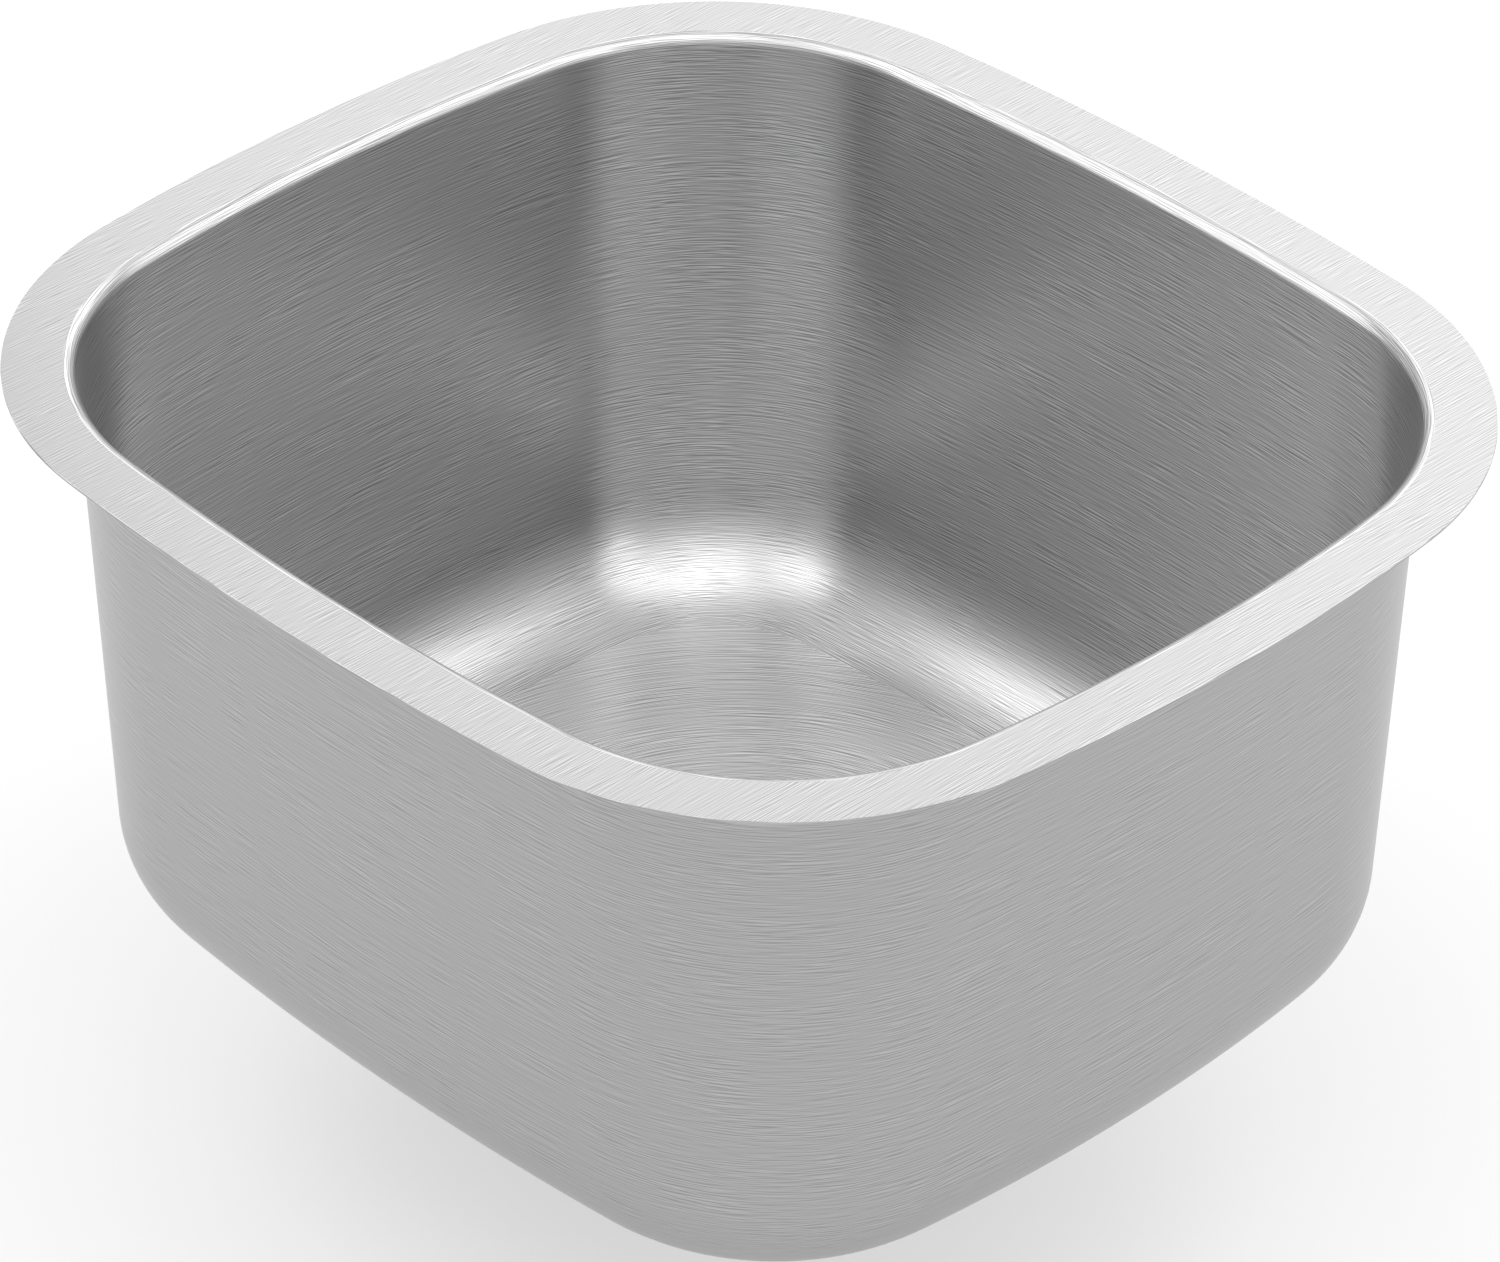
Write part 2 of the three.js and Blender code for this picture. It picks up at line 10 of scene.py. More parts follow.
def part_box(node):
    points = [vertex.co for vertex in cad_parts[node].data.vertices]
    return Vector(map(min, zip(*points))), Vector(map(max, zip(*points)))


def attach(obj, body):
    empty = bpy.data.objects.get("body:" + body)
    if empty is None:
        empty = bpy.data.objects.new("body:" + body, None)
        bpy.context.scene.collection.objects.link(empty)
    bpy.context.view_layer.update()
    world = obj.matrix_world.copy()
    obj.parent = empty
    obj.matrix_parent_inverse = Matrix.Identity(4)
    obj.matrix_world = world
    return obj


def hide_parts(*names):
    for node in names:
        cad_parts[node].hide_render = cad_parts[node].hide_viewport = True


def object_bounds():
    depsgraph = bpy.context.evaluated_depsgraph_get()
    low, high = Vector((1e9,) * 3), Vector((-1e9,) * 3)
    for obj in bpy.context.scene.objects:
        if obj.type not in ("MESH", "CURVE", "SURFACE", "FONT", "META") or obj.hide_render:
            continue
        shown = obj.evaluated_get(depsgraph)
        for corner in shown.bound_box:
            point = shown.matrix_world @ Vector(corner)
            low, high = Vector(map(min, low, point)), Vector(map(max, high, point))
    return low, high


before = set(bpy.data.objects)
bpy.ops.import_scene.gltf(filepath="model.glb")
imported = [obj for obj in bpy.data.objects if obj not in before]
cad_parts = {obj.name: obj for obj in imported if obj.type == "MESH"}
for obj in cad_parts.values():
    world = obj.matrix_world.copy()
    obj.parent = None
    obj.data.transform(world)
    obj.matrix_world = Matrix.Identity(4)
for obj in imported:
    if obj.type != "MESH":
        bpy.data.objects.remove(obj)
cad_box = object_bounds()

MM = 0.001
DEGREE = math.pi / 180
TURN = 2 * math.pi

# ------------------------------------------------------------------ sizes of the bowl

BOWL_LOW, BOWL_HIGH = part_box("bowl_shell")
HALF_WIDTH, HALF_DEPTH = BOWL_HIGH.x, BOWL_HIGH.y
SHEET = 0.95 * MM
SEAT = BOWL_LOW.z + SHEET  # where the strainer's flange sits
SIDE_BOW = 1280 * MM
FRONT_BOW = 830 * MM
FLANGE_LAND = 21.6 * MM
RIM_BEND = 3.65 * MM + SHEET  # on the face
BOWL_DEPTH = 230 * MM
WALL_DRAFT = 2.4 * DEGREE
COVE = 42.8 * MM
FLOOR_LAND = 3 * MM
FLOOR_CORNER = 49 * MM
DISH_GAP = 1 * MM
DISH_LAND = 16 * MM
DISH_BLEND = 350 * MM
RECESS_DROP = 6 * MM
RECESS_SLOPE = 60 * DEGREE
RECESS_BEND = 2.5 * MM
RECESS_CLEARANCE = 1 * MM
DRAIN_RADIUS = 44.45 * MM
STRAINER_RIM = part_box("strainer_body")[1].x

WALL_TURN = 90 * DEGREE - WALL_DRAFT
WALL_TOP = FLANGE_LAND + RIM_BEND * math.tan(WALL_TURN / 2)
WALL_FOOT = WALL_TOP + BOWL_DEPTH * math.tan(WALL_DRAFT)
FLOOR_INSET = WALL_FOOT + COVE * math.tan(WALL_TURN / 2) + FLOOR_LAND
FLANGE_CORNER = FLOOR_CORNER + FLOOR_INSET
STEP_FOOT = STRAINER_RIM + RECESS_CLEARANCE + RECESS_BEND * math.tan(RECESS_SLOPE / 2)
STEP_TOP = STEP_FOOT + RECESS_DROP / math.tan(RECESS_SLOPE)
DISH_EDGE = min(HALF_WIDTH, HALF_DEPTH) - FLOOR_INSET - DISH_GAP
DISH_START = DISH_EDGE - DISH_LAND

LONG_STEPS = 20  # in half of a long edge
CORNER_STEPS = 26
SECTION_STEP = 6 * DEGREE  # in the bends of the sheet
DISH_STEP = 1.5 * DEGREE  # in the shallow bends of the floor

MERGE = 0.01 * MM  # points closer than this are one
SLIVER = 0.03 * MM  # and after a Boolean, points closer than this
BROKEN_EDGE = 0.15 * MM  # the rounding of a sheet's cut edges
LEVEL = 0.999  # the least z of a level face's normal

# ------------------------------------------------------------------ sizes of the drain

FIT = 0.3 * MM  # between a piece and what it rests on or is screwed to
BEND_STEP = 15 * DEGREE  # in small bends and rounded edges
DRAIN_STEPS = 120  # round the drain's parts
POST_STEPS = 48  # round the post and what is on it

STRAINER_LOW, STRAINER_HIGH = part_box("strainer_body")
STRAINER_SHEET = 1 * MM
BRIM_BEND = 0.6 * MM + STRAINER_SHEET
NECK_BEND = 1.6 * MM + STRAINER_SHEET
SHELL_OUTER = DRAIN_RADIUS - 1.65 * MM
SHELL_INNER = SHELL_OUTER - STRAINER_SHEET
CONE_WIDTH = 11.8 * MM
CONE_SLOPE = 40 * DEGREE
CONE_BEND = 2 * MM
CONE_TOP = SEAT - 31 * MM
CONE_FOOT = CONE_TOP - CONE_WIDTH * math.tan(CONE_SLOPE)
CUP_INNER = SHELL_INNER - CONE_WIDTH
CUP_BEND = 3 * MM
PLATE_TOP = STRAINER_LOW.z + STRAINER_SHEET
CATCH_LOW, CATCH_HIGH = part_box("post_catch")
CATCH_RADIUS = CATCH_HIGH.y
SOCKET_HOLE = CATCH_RADIUS + FIT
WINDOW_INNER = SOCKET_HOLE + 4 * MM
CROSS_BARS = 6
CROSS_BAR_WIDTH = 4.2 * MM
SHELL_THREAD = 2 * MM  # pitch
SHELL_THREAD_LENGTH = 27 * MM

OUTLET_LOW, OUTLET_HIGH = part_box("strainer_outlet")
PIPE_BORE = 19.45 * MM
OUTLET_THREAD = PIPE_BORE + 3.75 * MM
OUTLET_FOOT_THICKNESS = 1.6 * MM
OUTLET_PITCH = 2.2 * MM

NUT_LOW, NUT_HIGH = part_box("coupling_nut")
NUT_RIB_REACH = 1.5 * MM
NUT_RIB_RADIUS = 3 * MM
NUT_RIBS = 12
NUT_RIB_SIDES = 24
NUT_OUTER = NUT_HIGH.x - NUT_RIB_REACH
NUT_INNER = OUTLET_THREAD + FIT
NUT_LIP = 2.2 * MM
NUT_CHAMFER = 1.2 * MM

LOCKNUT_LOW, LOCKNUT_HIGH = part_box("locknut")
LOCKNUT_BORE = SHELL_OUTER + FIT
LOCKNUT_HUB = LOCKNUT_BORE + 3.8 * MM
LOCKNUT_WEB = 4.5 * MM
LOCKNUT_LUGS = 8
LOCKNUT_LUG_WIDTH = 9 * MM
LUG_MARGIN = 0.05 * MM  # a lug stops short of the nut's two faces
LOCKNUT_RADIUS = DRAIN_RADIUS + 6.5 * MM

CUP_LOW, CUP_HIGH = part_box("basket_cup")
BASKET_SHEET = 0.8 * MM
BASKET_BEND = 0.8 * MM + BASKET_SHEET
BASKET_RIM = CUP_HIGH.x
BASKET_MOUTH = BASKET_RIM - 3.5 * MM
BASKET_FLOOR = BASKET_MOUTH - 11 * MM
BASKET_CORNER = 4 * MM
BASKET_TURN_DOWN = 3.5 * MM
BASKET_SLOTS = 20
SLOT_WIDTH = 2.6 * MM
SLOT_MARGIN = 6.5 * MM
SLOT_ROUNDING = 0.499 * SLOT_WIDTH  # a little under half, so that the end keeps its middle edge
HOLE_RADIUS = 1.7 * MM
HOLE_RINGS = ((11.5 * MM, 8), (18 * MM, 12))
HOLE_SIDES = 20

POST_LOW, POST_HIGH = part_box("basket_post")
POST_RADIUS = 3.2 * MM
POST_BORE = POST_RADIUS + FIT
POST_NOSE = 2.5 * MM
GROOVE_RADIUS = POST_RADIUS - 0.6 * MM
COLLAR_RADIUS = POST_HIGH.y
COLLAR_HEIGHT = 2 * MM
KNOB_LOW, KNOB_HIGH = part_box("basket_knob")
KNOB_RADIUS = KNOB_HIGH.y
KNOB_WAIST = 5.6 * MM
KNOB_HEAD = 6 * MM
KNOB_SOCKET = 8 * MM
STOPPER_LOW, STOPPER_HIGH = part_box("basket_stopper")
CATCH_OPENING = 2.4 * MM
WIRE_SIDES = 12

PAD_THICKNESS = 3 * MM
PAD_CORNER = 12 * MM
PAD_EDGE = 0.5 * MM


# ------------------------------------------------------------------ modelling by hand, in steps


def deselect():
    if bpy.context.mode != "OBJECT":
        bpy.ops.object.mode_set(mode="OBJECT")
    bpy.ops.object.select_all(action="DESELECT")


def start_line(name, x, z):
    """A new piece of one point in the plane y = 0, left in edit mode with that point selected."""
    deselect()
    bpy.ops.mesh.primitive_plane_add(size=MM)
    piece = bpy.context.object
    piece.name = name
    bpy.ops.object.mode_set(mode="EDIT")
    bpy.ops.mesh.select_mode(type="VERT")
    bpy.ops.mesh.merge(type="CENTER")
    bpy.ops.mesh.select_all(action="SELECT")
    bpy.ops.transform.translate(value=(x, 0, z))
    return piece


def draw_section(name, corners, step=SECTION_STEP):
    """A line through corners (x, z, radius) in the plane y = 0. A corner with a radius is a bend."""
    places = [Vector(corner[:2]) for corner in corners]
    radii = [corner[2] if len(corner) > 2 else 0 for corner in corners]
    piece = start_line(name, *places[0])
    reached = places[0]
    for i in range(1, len(places)):
        arriving = (places[i] - places[i - 1]).normalized()
        end, turn = places[i], 0
        if radii[i]:
            leaving = (places[i + 1] - places[i]).normalized()
            turn = math.atan2(arriving.cross(leaving), arriving.dot(leaving))
            end = places[i] - arriving * radii[i] * math.tan(abs(turn) / 2)
        run = end - reached
        bpy.ops.mesh.extrude_region_move(TRANSFORM_OT_translate={"value": (run.x, 0, run.y)})
        reached = end
        if turn:
            side = Vector((-arriving.y, arriving.x)) * math.copysign(radii[i], turn)
            centre = end + side
            steps = max(1, round(abs(turn) / step))
            bpy.ops.mesh.spin(steps=steps, angle=turn, center=(centre.x, 0, centre.y), axis=(0, 1, 0))
            reached = centre + Matrix.Rotation(turn, 2) @ -side
    return piece


def sweep(steps, angle, centre=(0, 0)):
    """Turns what is selected about an upright axis, counter-clockwise from above."""
    bpy.ops.mesh.spin(steps=steps, angle=-angle, center=(*centre, 0), axis=(0, 0, 1))


def turn_round(piece, steps):
    """A drawn section turned all the way round the Z axis, as a closed skin."""
    bpy.ops.mesh.select_all(action="SELECT")
    sweep(steps, TURN)
    bpy.ops.mesh.select_all(action="SELECT")
    bpy.ops.mesh.remove_doubles(threshold=MERGE)
    bpy.ops.mesh.normals_make_consistent(inside=False)
    bpy.ops.object.mode_set(mode="OBJECT")
    return piece


def modify(piece, kind, **settings):
    modifier = piece.modifiers.new(kind.title(), kind)
    for name, value in settings.items():
        setattr(modifier, name, value)
    deselect()
    piece.select_set(True)
    bpy.context.view_layer.objects.active = piece
    bpy.ops.object.modifier_apply(modifier=modifier.name)


def break_edges(piece, angle, width=BROKEN_EDGE, segments=2):
    """Rounds the edges that turn by more than an angle."""
    modify(
        piece, "BEVEL", limit_method="ANGLE", angle_limit=angle, width=width, segments=segments
    )


def smooth(piece, angle=35 * DEGREE):
    deselect()
    piece.select_set(True)
    bpy.context.view_layer.objects.active = piece
    bpy.ops.object.shade_smooth_by_angle(angle=angle)
    modify(piece, "WEIGHTED_NORMAL", keep_sharp=True)


# ------------------------------------------------------------------ bowl

SIDE_CENTRE = Vector((HALF_WIDTH - SIDE_BOW, 0))
BACK_CENTRE = Vector((0, HALF_DEPTH - FRONT_BOW))


def corner_centre():
    """The corner arc touches both long arcs from inside, so its centre is this far from theirs."""
    from_side = SIDE_BOW - FLANGE_CORNER
    from_back = FRONT_BOW - FLANGE_CORNER
    apart = BACK_CENTRE - SIDE_CENTRE
    along = (from_side**2 - from_back**2 + apart.length_squared) / (2 * apart.length)
    across = math.sqrt(from_side**2 - along**2)
    line = apart.normalized()
    return SIDE_CENTRE + line * along + Vector((-line.y, line.x)) * across


CORNER_CENTRE = corner_centre()
SIDE_END = math.atan2(*reversed(CORNER_CENTRE - SIDE_CENTRE))
BACK_START = math.atan2(*reversed(CORNER_CENTRE - BACK_CENTRE))
ROUND_STEPS = 4 * (2 * LONG_STEPS + CORNER_STEPS)


def draw_wall():
    """Flange, rim bend, wall and cove: one section, swept about the three centres of a quarter."""
    wall = draw_section(
        "bowl",
        [
            (HALF_WIDTH, 0),
            (HALF_WIDTH - WALL_TOP, 0, RIM_BEND),
            (HALF_WIDTH - WALL_FOOT, -BOWL_DEPTH, COVE),
            (HALF_WIDTH - FLOOR_INSET, -BOWL_DEPTH),
        ],
    )
    bpy.ops.mesh.select_all(action="SELECT")
    sweep(LONG_STEPS, SIDE_END, SIDE_CENTRE)
    sweep(CORNER_STEPS, BACK_START - SIDE_END, CORNER_CENTRE)
    sweep(LONG_STEPS, 90 * DEGREE - BACK_START, BACK_CENTRE)
    bpy.ops.object.mode_set(mode="OBJECT")
    modify(wall, "MIRROR", use_axis=(True, True, False), merge_threshold=MERGE)
    return wall


def draw_drain_floor():
    """The floor's slope to the drain and the recess there, from its level ring to the drain hole."""
    floor = draw_section(
        "drain_floor",
        [
            (DISH_EDGE, -BOWL_DEPTH),
            (DISH_START, -BOWL_DEPTH, DISH_BLEND),
            (STEP_TOP, SEAT + RECESS_DROP, RECESS_BEND + SHEET),
            (STEP_FOOT, SEAT, RECESS_BEND),
            (DRAIN_RADIUS, SEAT),
        ],
        step=DISH_STEP,
    )
    return turn_round(floor, ROUND_STEPS)


FLANGE, WALL, FLOOR, OUTSIDE = range(4)  # material places
HIGH_ABOVE = Vector((0, 0, 1))  # the walls' inner side looks towards this point


def brushing_map(piece):
    """UV in the direction of brushing. Flange: metres. Wall: share of the way round, and metres down
    and in. Floor: share of a turn, and metres out from the drain."""
    side_length = SIDE_END * SIDE_BOW
    corner_length = (BACK_START - SIDE_END) * FLANGE_CORNER
    quarter = side_length + corner_length + (90 * DEGREE - BACK_START) * FRONT_BOW

    def on_wall(x, y, z, right, back):
        from_side = Vector((abs(x), abs(y))) - SIDE_CENTRE
        from_corner = Vector((abs(x), abs(y))) - CORNER_CENTRE
        from_back = Vector((abs(x), abs(y))) - BACK_CENTRE
        side_angle = math.atan2(from_side.y, from_side.x)
        back_angle = math.atan2(from_back.y, from_back.x)
        if side_angle <= SIDE_END:
            along = side_angle * SIDE_BOW
            inset = SIDE_BOW - from_side.length
        elif back_angle >= BACK_START:
            along = quarter - (90 * DEGREE - back_angle) * FRONT_BOW
            inset = FRONT_BOW - from_back.length
        else:
            corner_angle = math.atan2(from_corner.y, from_corner.x)
            along = side_length + (corner_angle - SIDE_END) * FLANGE_CORNER
            inset = FLANGE_CORNER - from_corner.length
        share = along / quarter / 4
        if right:
            share = share if back else 1 - share
        else:
            share = 0.5 - share if back else 0.5 + share
        return share, inset - z

    mesh = piece.data
    places = mesh.uv_layers.new(name="brushing").data
    for face in mesh.polygons:
        right, back = face.center.x > 0, face.center.y > 0
        for loop in face.loop_indices:
            x, y, z = mesh.vertices[mesh.loops[loop].vertex_index].co
            if face.material_index == FLANGE:
                places[loop].uv = (x, y)
            elif face.material_index in (WALL, OUTSIDE):
                places[loop].uv = on_wall(x, y, z, right, back)
            else:
                angle = math.atan2(y, x) / TURN
                if not back and angle > 0.25:
                    angle -= 1
                if back and angle < -0.25:
                    angle += 1
                places[loop].uv = (angle, math.hypot(x, y))


def make_bowl():
    """The wall and the drain floor joined, thickened to sheet, and given its four brushed materials: one
    steel, brushed a different way in each zone, with colours set lighter or darker per zone as painted
    light and shade.
    """
    bowl = draw_wall()
    floor = draw_drain_floor()
    deselect()
    floor.select_set(True)
    bowl.select_set(True)
    bpy.context.view_layer.objects.active = bowl
    bpy.ops.object.join()

    # The level strip's inner edge and the dish's outer ring have the same number of points.
    bpy.ops.object.mode_set(mode="EDIT")
    bpy.ops.mesh.select_mode(type="EDGE")
    bpy.ops.mesh.select_all(action="DESELECT")
    mesh = bmesh.from_edit_mesh(bowl.data)
    for line in mesh.edges:
        if line.is_boundary:
            x, y, z = (line.verts[0].co + line.verts[1].co) / 2
            line.select = z < -BOWL_DEPTH + MM and math.hypot(x, y) > STEP_TOP
    bpy.ops.mesh.bridge_edge_loops()
    bpy.ops.mesh.select_all(action="SELECT")
    bpy.ops.mesh.remove_doubles(threshold=MERGE)
    bpy.ops.mesh.normals_make_consistent(inside=False)
    bpy.ops.object.mode_set(mode="OBJECT")
    flange = max(bowl.data.polygons, key=lambda face: face.center.x)
    if flange.normal.z < 0:
        bowl.data.flip_normals()

    modify(bowl, "SOLIDIFY", thickness=SHEET, offset=-1, use_even_offset=True)
    break_edges(bowl, 80 * DEGREE)

    for material in (flange_steel_painted_light_and_shade, wall_steel_painted_light_and_shade, floor_steel_painted_light_and_shade, outside_steel_painted_shade):
        bowl.data.materials.append(material)
    for face in bowl.data.polygons:
        x, y, z = face.center
        level = abs(face.normal.z) > LEVEL
        if z > -2 * SHEET and level:
            face.material_index = FLANGE
        elif z < -BOWL_DEPTH + 0.2 * MM and (level or math.hypot(x, y) < DISH_EDGE):
            face.material_index = FLOOR
        elif face.normal.dot(HIGH_ABOVE - face.center) > 0:
            face.material_index = WALL
        else:
            face.material_index = OUTSIDE
    brushing_map(bowl)
    smooth(bowl)
    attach(bowl, "sink")
    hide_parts("bowl_shell")
    return bowl


# ------------------------------------------------------------------ drain: shared steps


def turned_sheet(name, corners, thickness, steps=DRAIN_STEPS, bend_step=BEND_STEP):
    """A drawn section as pressed sheet. Its face looks up, and the metal lies behind it."""
    piece = turn_round(draw_section(name, corners, bend_step), steps)
    brim = max(piece.data.polygons, key=lambda face: face.center.z)
    if brim.normal.z < 0:
        piece.data.flip_normals()
    modify(piece, "SOLIDIFY", thickness=thickness, offset=-1, use_even_offset=True)
    return piece


def turned_solid(name, corners, steps=DRAIN_STEPS):
    """A drawn outline that is closed, or that starts and ends on the axis, turned to a solid."""
    return turn_round(draw_section(name, corners, BEND_STEP), steps)


def turned_ring(name, node, inner, edge, steps=DRAIN_STEPS):
    """A flat ring as wide and as thick as its CAD node, with rounded edges."""
    low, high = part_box(node)
    middle = (low.z + high.z) / 2
    return turned_solid(
        name,
        [
            (inner, middle),
            (inner, high.z, edge),
            (high.y, high.z, edge),
            (high.y, low.z, edge),
            (inner, low.z, edge),
            (inner, middle),
        ],
        steps,
    )


def copy_round(piece, count):
    """The piece and its copies, set evenly round the Z axis, in one mesh."""
    deselect()
    bpy.context.view_layer.objects.active = piece
    bpy.ops.object.mode_set(mode="EDIT")
    bpy.ops.mesh.select_all(action="SELECT")
    span = TURN * (count - 1) / count
    bpy.ops.mesh.spin(steps=count - 1, dupli=True, angle=span, center=(0, 0, 0), axis=(0, 0, 1))
    bpy.ops.object.mode_set(mode="OBJECT")
    return piece


def combine(piece, other, operation):
    """The piece joined to or cut by another, without the slivers that a cut leaves."""
    modify(piece, "BOOLEAN", operation=operation, object=other, solver="EXACT")
    bpy.data.objects.remove(other)
    bpy.ops.object.mode_set(mode="EDIT")
    bpy.ops.mesh.select_all(action="SELECT")
    bpy.ops.mesh.remove_doubles(threshold=SLIVER)
    bpy.ops.object.mode_set(mode="OBJECT")
    return piece


def block(name, size, centre):
    """A block of a size, its place in its mesh."""
    deselect()
    bpy.ops.mesh.primitive_cube_add(size=1, location=centre)
    piece = bpy.context.object
    piece.name = name
    piece.scale = size
    bpy.ops.object.transform_apply(location=True, rotation=True, scale=True)
    return piece


def rod(name, radius, depth, centre, sides, turned=(0, 0, 0)):
    """An upright rod, or one turned about its centre, its place in its mesh."""
    deselect()
    bpy.ops.mesh.primitive_cylinder_add(
        vertices=sides, radius=radius, depth=depth, location=centre, rotation=turned
    )
    piece = bpy.context.object
    piece.name = name
    bpy.ops.object.transform_apply(location=True, rotation=True, scale=True)
    return piece


def join(piece, *others):
    deselect()
    for other in (piece, *others):
        other.select_set(True)
    bpy.context.view_layer.objects.active = piece
    bpy.ops.object.join()
    return piece


def thread(name, radius, low, high, pitch):
    """The crest of an outside thread: a three-sided ridge wound round the Z axis, closed at its ends."""
    depth = pitch / 3
    ridge = draw_section(
        name,
        [
            (radius - depth, low),
            (radius, low + pitch / 2),
            (radius - depth, low + pitch),
            (radius - depth, low),
        ],
    )
    bpy.ops.mesh.select_all(action="SELECT")
    bpy.ops.mesh.remove_doubles(threshold=MERGE)
    bpy.ops.object.mode_set(mode="OBJECT")
    modify(
        ridge,
        "SCREW",
        angle=TURN,
        screw_offset=pitch,
        iterations=round((high - low) / pitch) - 1,
        steps=DRAIN_STEPS,
        render_steps=DRAIN_STEPS,
        axis="Z",
    )
    bpy.ops.object.mode_set(mode="EDIT")
    bpy.ops.mesh.select_all(action="SELECT")
    bpy.ops.mesh.fill_holes(sides=3)
    bpy.ops.mesh.select_all(action="SELECT")
    bpy.ops.mesh.normals_make_consistent(inside=False)
    bpy.ops.object.mode_set(mode="OBJECT")
    return ridge


def finish(piece, material, body, slot, *nodes):
    """The last steps of a piece: its one material, its shading, its body and the nodes it replaces."""
    piece.data.materials.clear()
    piece.data.materials.append(material)
    smooth(piece)
    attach(piece, body)
    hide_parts(*nodes)
    return piece


# ------------------------------------------------------------------ strainer


def make_strainer_body():
    """One sheet: the socket in the middle of its cross bars, cup, cone, shell and brim."""
    body = turned_sheet(
        "strainer",
        [
            (SOCKET_HOLE, PLATE_TOP),
            (CUP_INNER, PLATE_TOP, CUP_BEND),
            (CUP_INNER, CONE_FOOT, CONE_BEND + STRAINER_SHEET),
            (SHELL_INNER, CONE_TOP, CONE_BEND),
            (SHELL_INNER, STRAINER_HIGH.z, NECK_BEND),
            (STRAINER_HIGH.x, STRAINER_HIGH.z, BRIM_BEND),
            (STRAINER_HIGH.x, SEAT + FIT),
        ],
        STRAINER_SHEET,
    )
    # The windows between the cross bars are a ring, less the bars.
    depth = 4 * STRAINER_SHEET
    low, high = PLATE_TOP - depth / 2, PLATE_TOP + depth / 2
    windows = turned_solid(
        "windows",
        [
            (WINDOW_INNER, low),
            (PIPE_BORE, low),
            (PIPE_BORE, high),
            (WINDOW_INNER, high),
            (WINDOW_INNER, low),
        ],
    )
    bar = block("bar", (CUP_INNER, CROSS_BAR_WIDTH, 2 * depth), (CUP_INNER / 2, 0, PLATE_TOP))
    combine(windows, copy_round(bar, CROSS_BARS), "DIFFERENCE")
    combine(body, windows, "DIFFERENCE")
    break_edges(body, 70 * DEGREE)
    low, high = CONE_TOP + SHELL_THREAD, CONE_TOP + SHELL_THREAD_LENGTH
    join(body, thread("shell_thread", SHELL_OUTER + FIT / 2, low, high, SHELL_THREAD))
    finish(body, polished_stainless, "sink", "polished_steel", "strainer_body")


def make_strainer_outlet():
    foot_under = OUTLET_HIGH.z - OUTLET_FOOT_THICKNESS
    edge = 0.4 * MM
    outlet = turned_solid(
        "outlet",
        [
            (PIPE_BORE, OUTLET_LOW.z),
            (OUTLET_THREAD, OUTLET_LOW.z, edge),
            (OUTLET_THREAD, foot_under, edge),
            (OUTLET_HIGH.x, foot_under, edge),
            (OUTLET_HIGH.x, OUTLET_HIGH.z, edge),
            (PIPE_BORE, OUTLET_HIGH.z),
            (PIPE_BORE, OUTLET_LOW.z),
        ],
    )
    low, high = OUTLET_LOW.z + OUTLET_PITCH, foot_under - OUTLET_PITCH
    join(outlet, thread("outlet_thread", OUTLET_THREAD + FIT / 2, low, high, OUTLET_PITCH))
    finish(outlet, cast_zinc, "sink", "cast_zinc", "strainer_outlet")


def make_coupling_nut():
    lip_top = NUT_LOW.z + NUT_LIP
    edge = 0.5 * MM
    nut = turned_solid(
        "coupling_nut_shell",
        [
            (PIPE_BORE, NUT_LOW.z),
            (NUT_OUTER - NUT_CHAMFER, NUT_LOW.z),
            (NUT_OUTER, NUT_LOW.z + NUT_CHAMFER),
            (NUT_OUTER, NUT_HIGH.z, edge),
            (NUT_INNER, NUT_HIGH.z, edge),
            (NUT_INNER, lip_top),
            (PIPE_BORE, lip_top, edge),
            (PIPE_BORE, NUT_LOW.z),
        ],
    )
    rib_low = NUT_LOW.z + NUT_CHAMFER
    height = NUT_HIGH.z - edge - rib_low
    centre = NUT_OUTER + NUT_RIB_REACH - NUT_RIB_RADIUS
    rib = rod("rib", NUT_RIB_RADIUS, height, (centre, 0, rib_low + height / 2), NUT_RIB_SIDES)
    break_edges(rib, 60 * DEGREE, 0.6 * MM, 3)
    combine(nut, copy_round(rib, NUT_RIBS), "UNION")
    finish(nut, cast_zinc, "sink", "cast_zinc", "coupling_nut")


def make_locknut():
    """Flat flange and hub, and lugs round them that a spanner turns it by."""
    web_under = LOCKNUT_HIGH.z - LOCKNUT_WEB
    edge = 0.6 * MM
    nut = turned_solid(
        "locknut_ring",
        [
            (LOCKNUT_BORE, LOCKNUT_LOW.z),
            (LOCKNUT_HUB, LOCKNUT_LOW.z, edge),
            (LOCKNUT_HUB, web_under, edge),
            (LOCKNUT_RADIUS, web_under, edge),
            (LOCKNUT_RADIUS, LOCKNUT_HIGH.z, edge),
            (LOCKNUT_BORE, LOCKNUT_HIGH.z),
            (LOCKNUT_BORE, LOCKNUT_LOW.z),
        ],
    )
    inner = (LOCKNUT_BORE + LOCKNUT_HUB) / 2
    length = LOCKNUT_HIGH.x - inner
    height = LOCKNUT_HIGH.z - LOCKNUT_LOW.z - 2 * LUG_MARGIN
    centre = (inner + length / 2, 0, (LOCKNUT_HIGH.z + LOCKNUT_LOW.z) / 2)
    lug = block("lug", (length, LOCKNUT_LUG_WIDTH, height), centre)
    break_edges(lug, 60 * DEGREE, 1.2 * MM, 4)
    combine(nut, copy_round(lug, LOCKNUT_LUGS), "UNION")
    finish(nut, cast_zinc, "sink", "cast_zinc", "locknut")


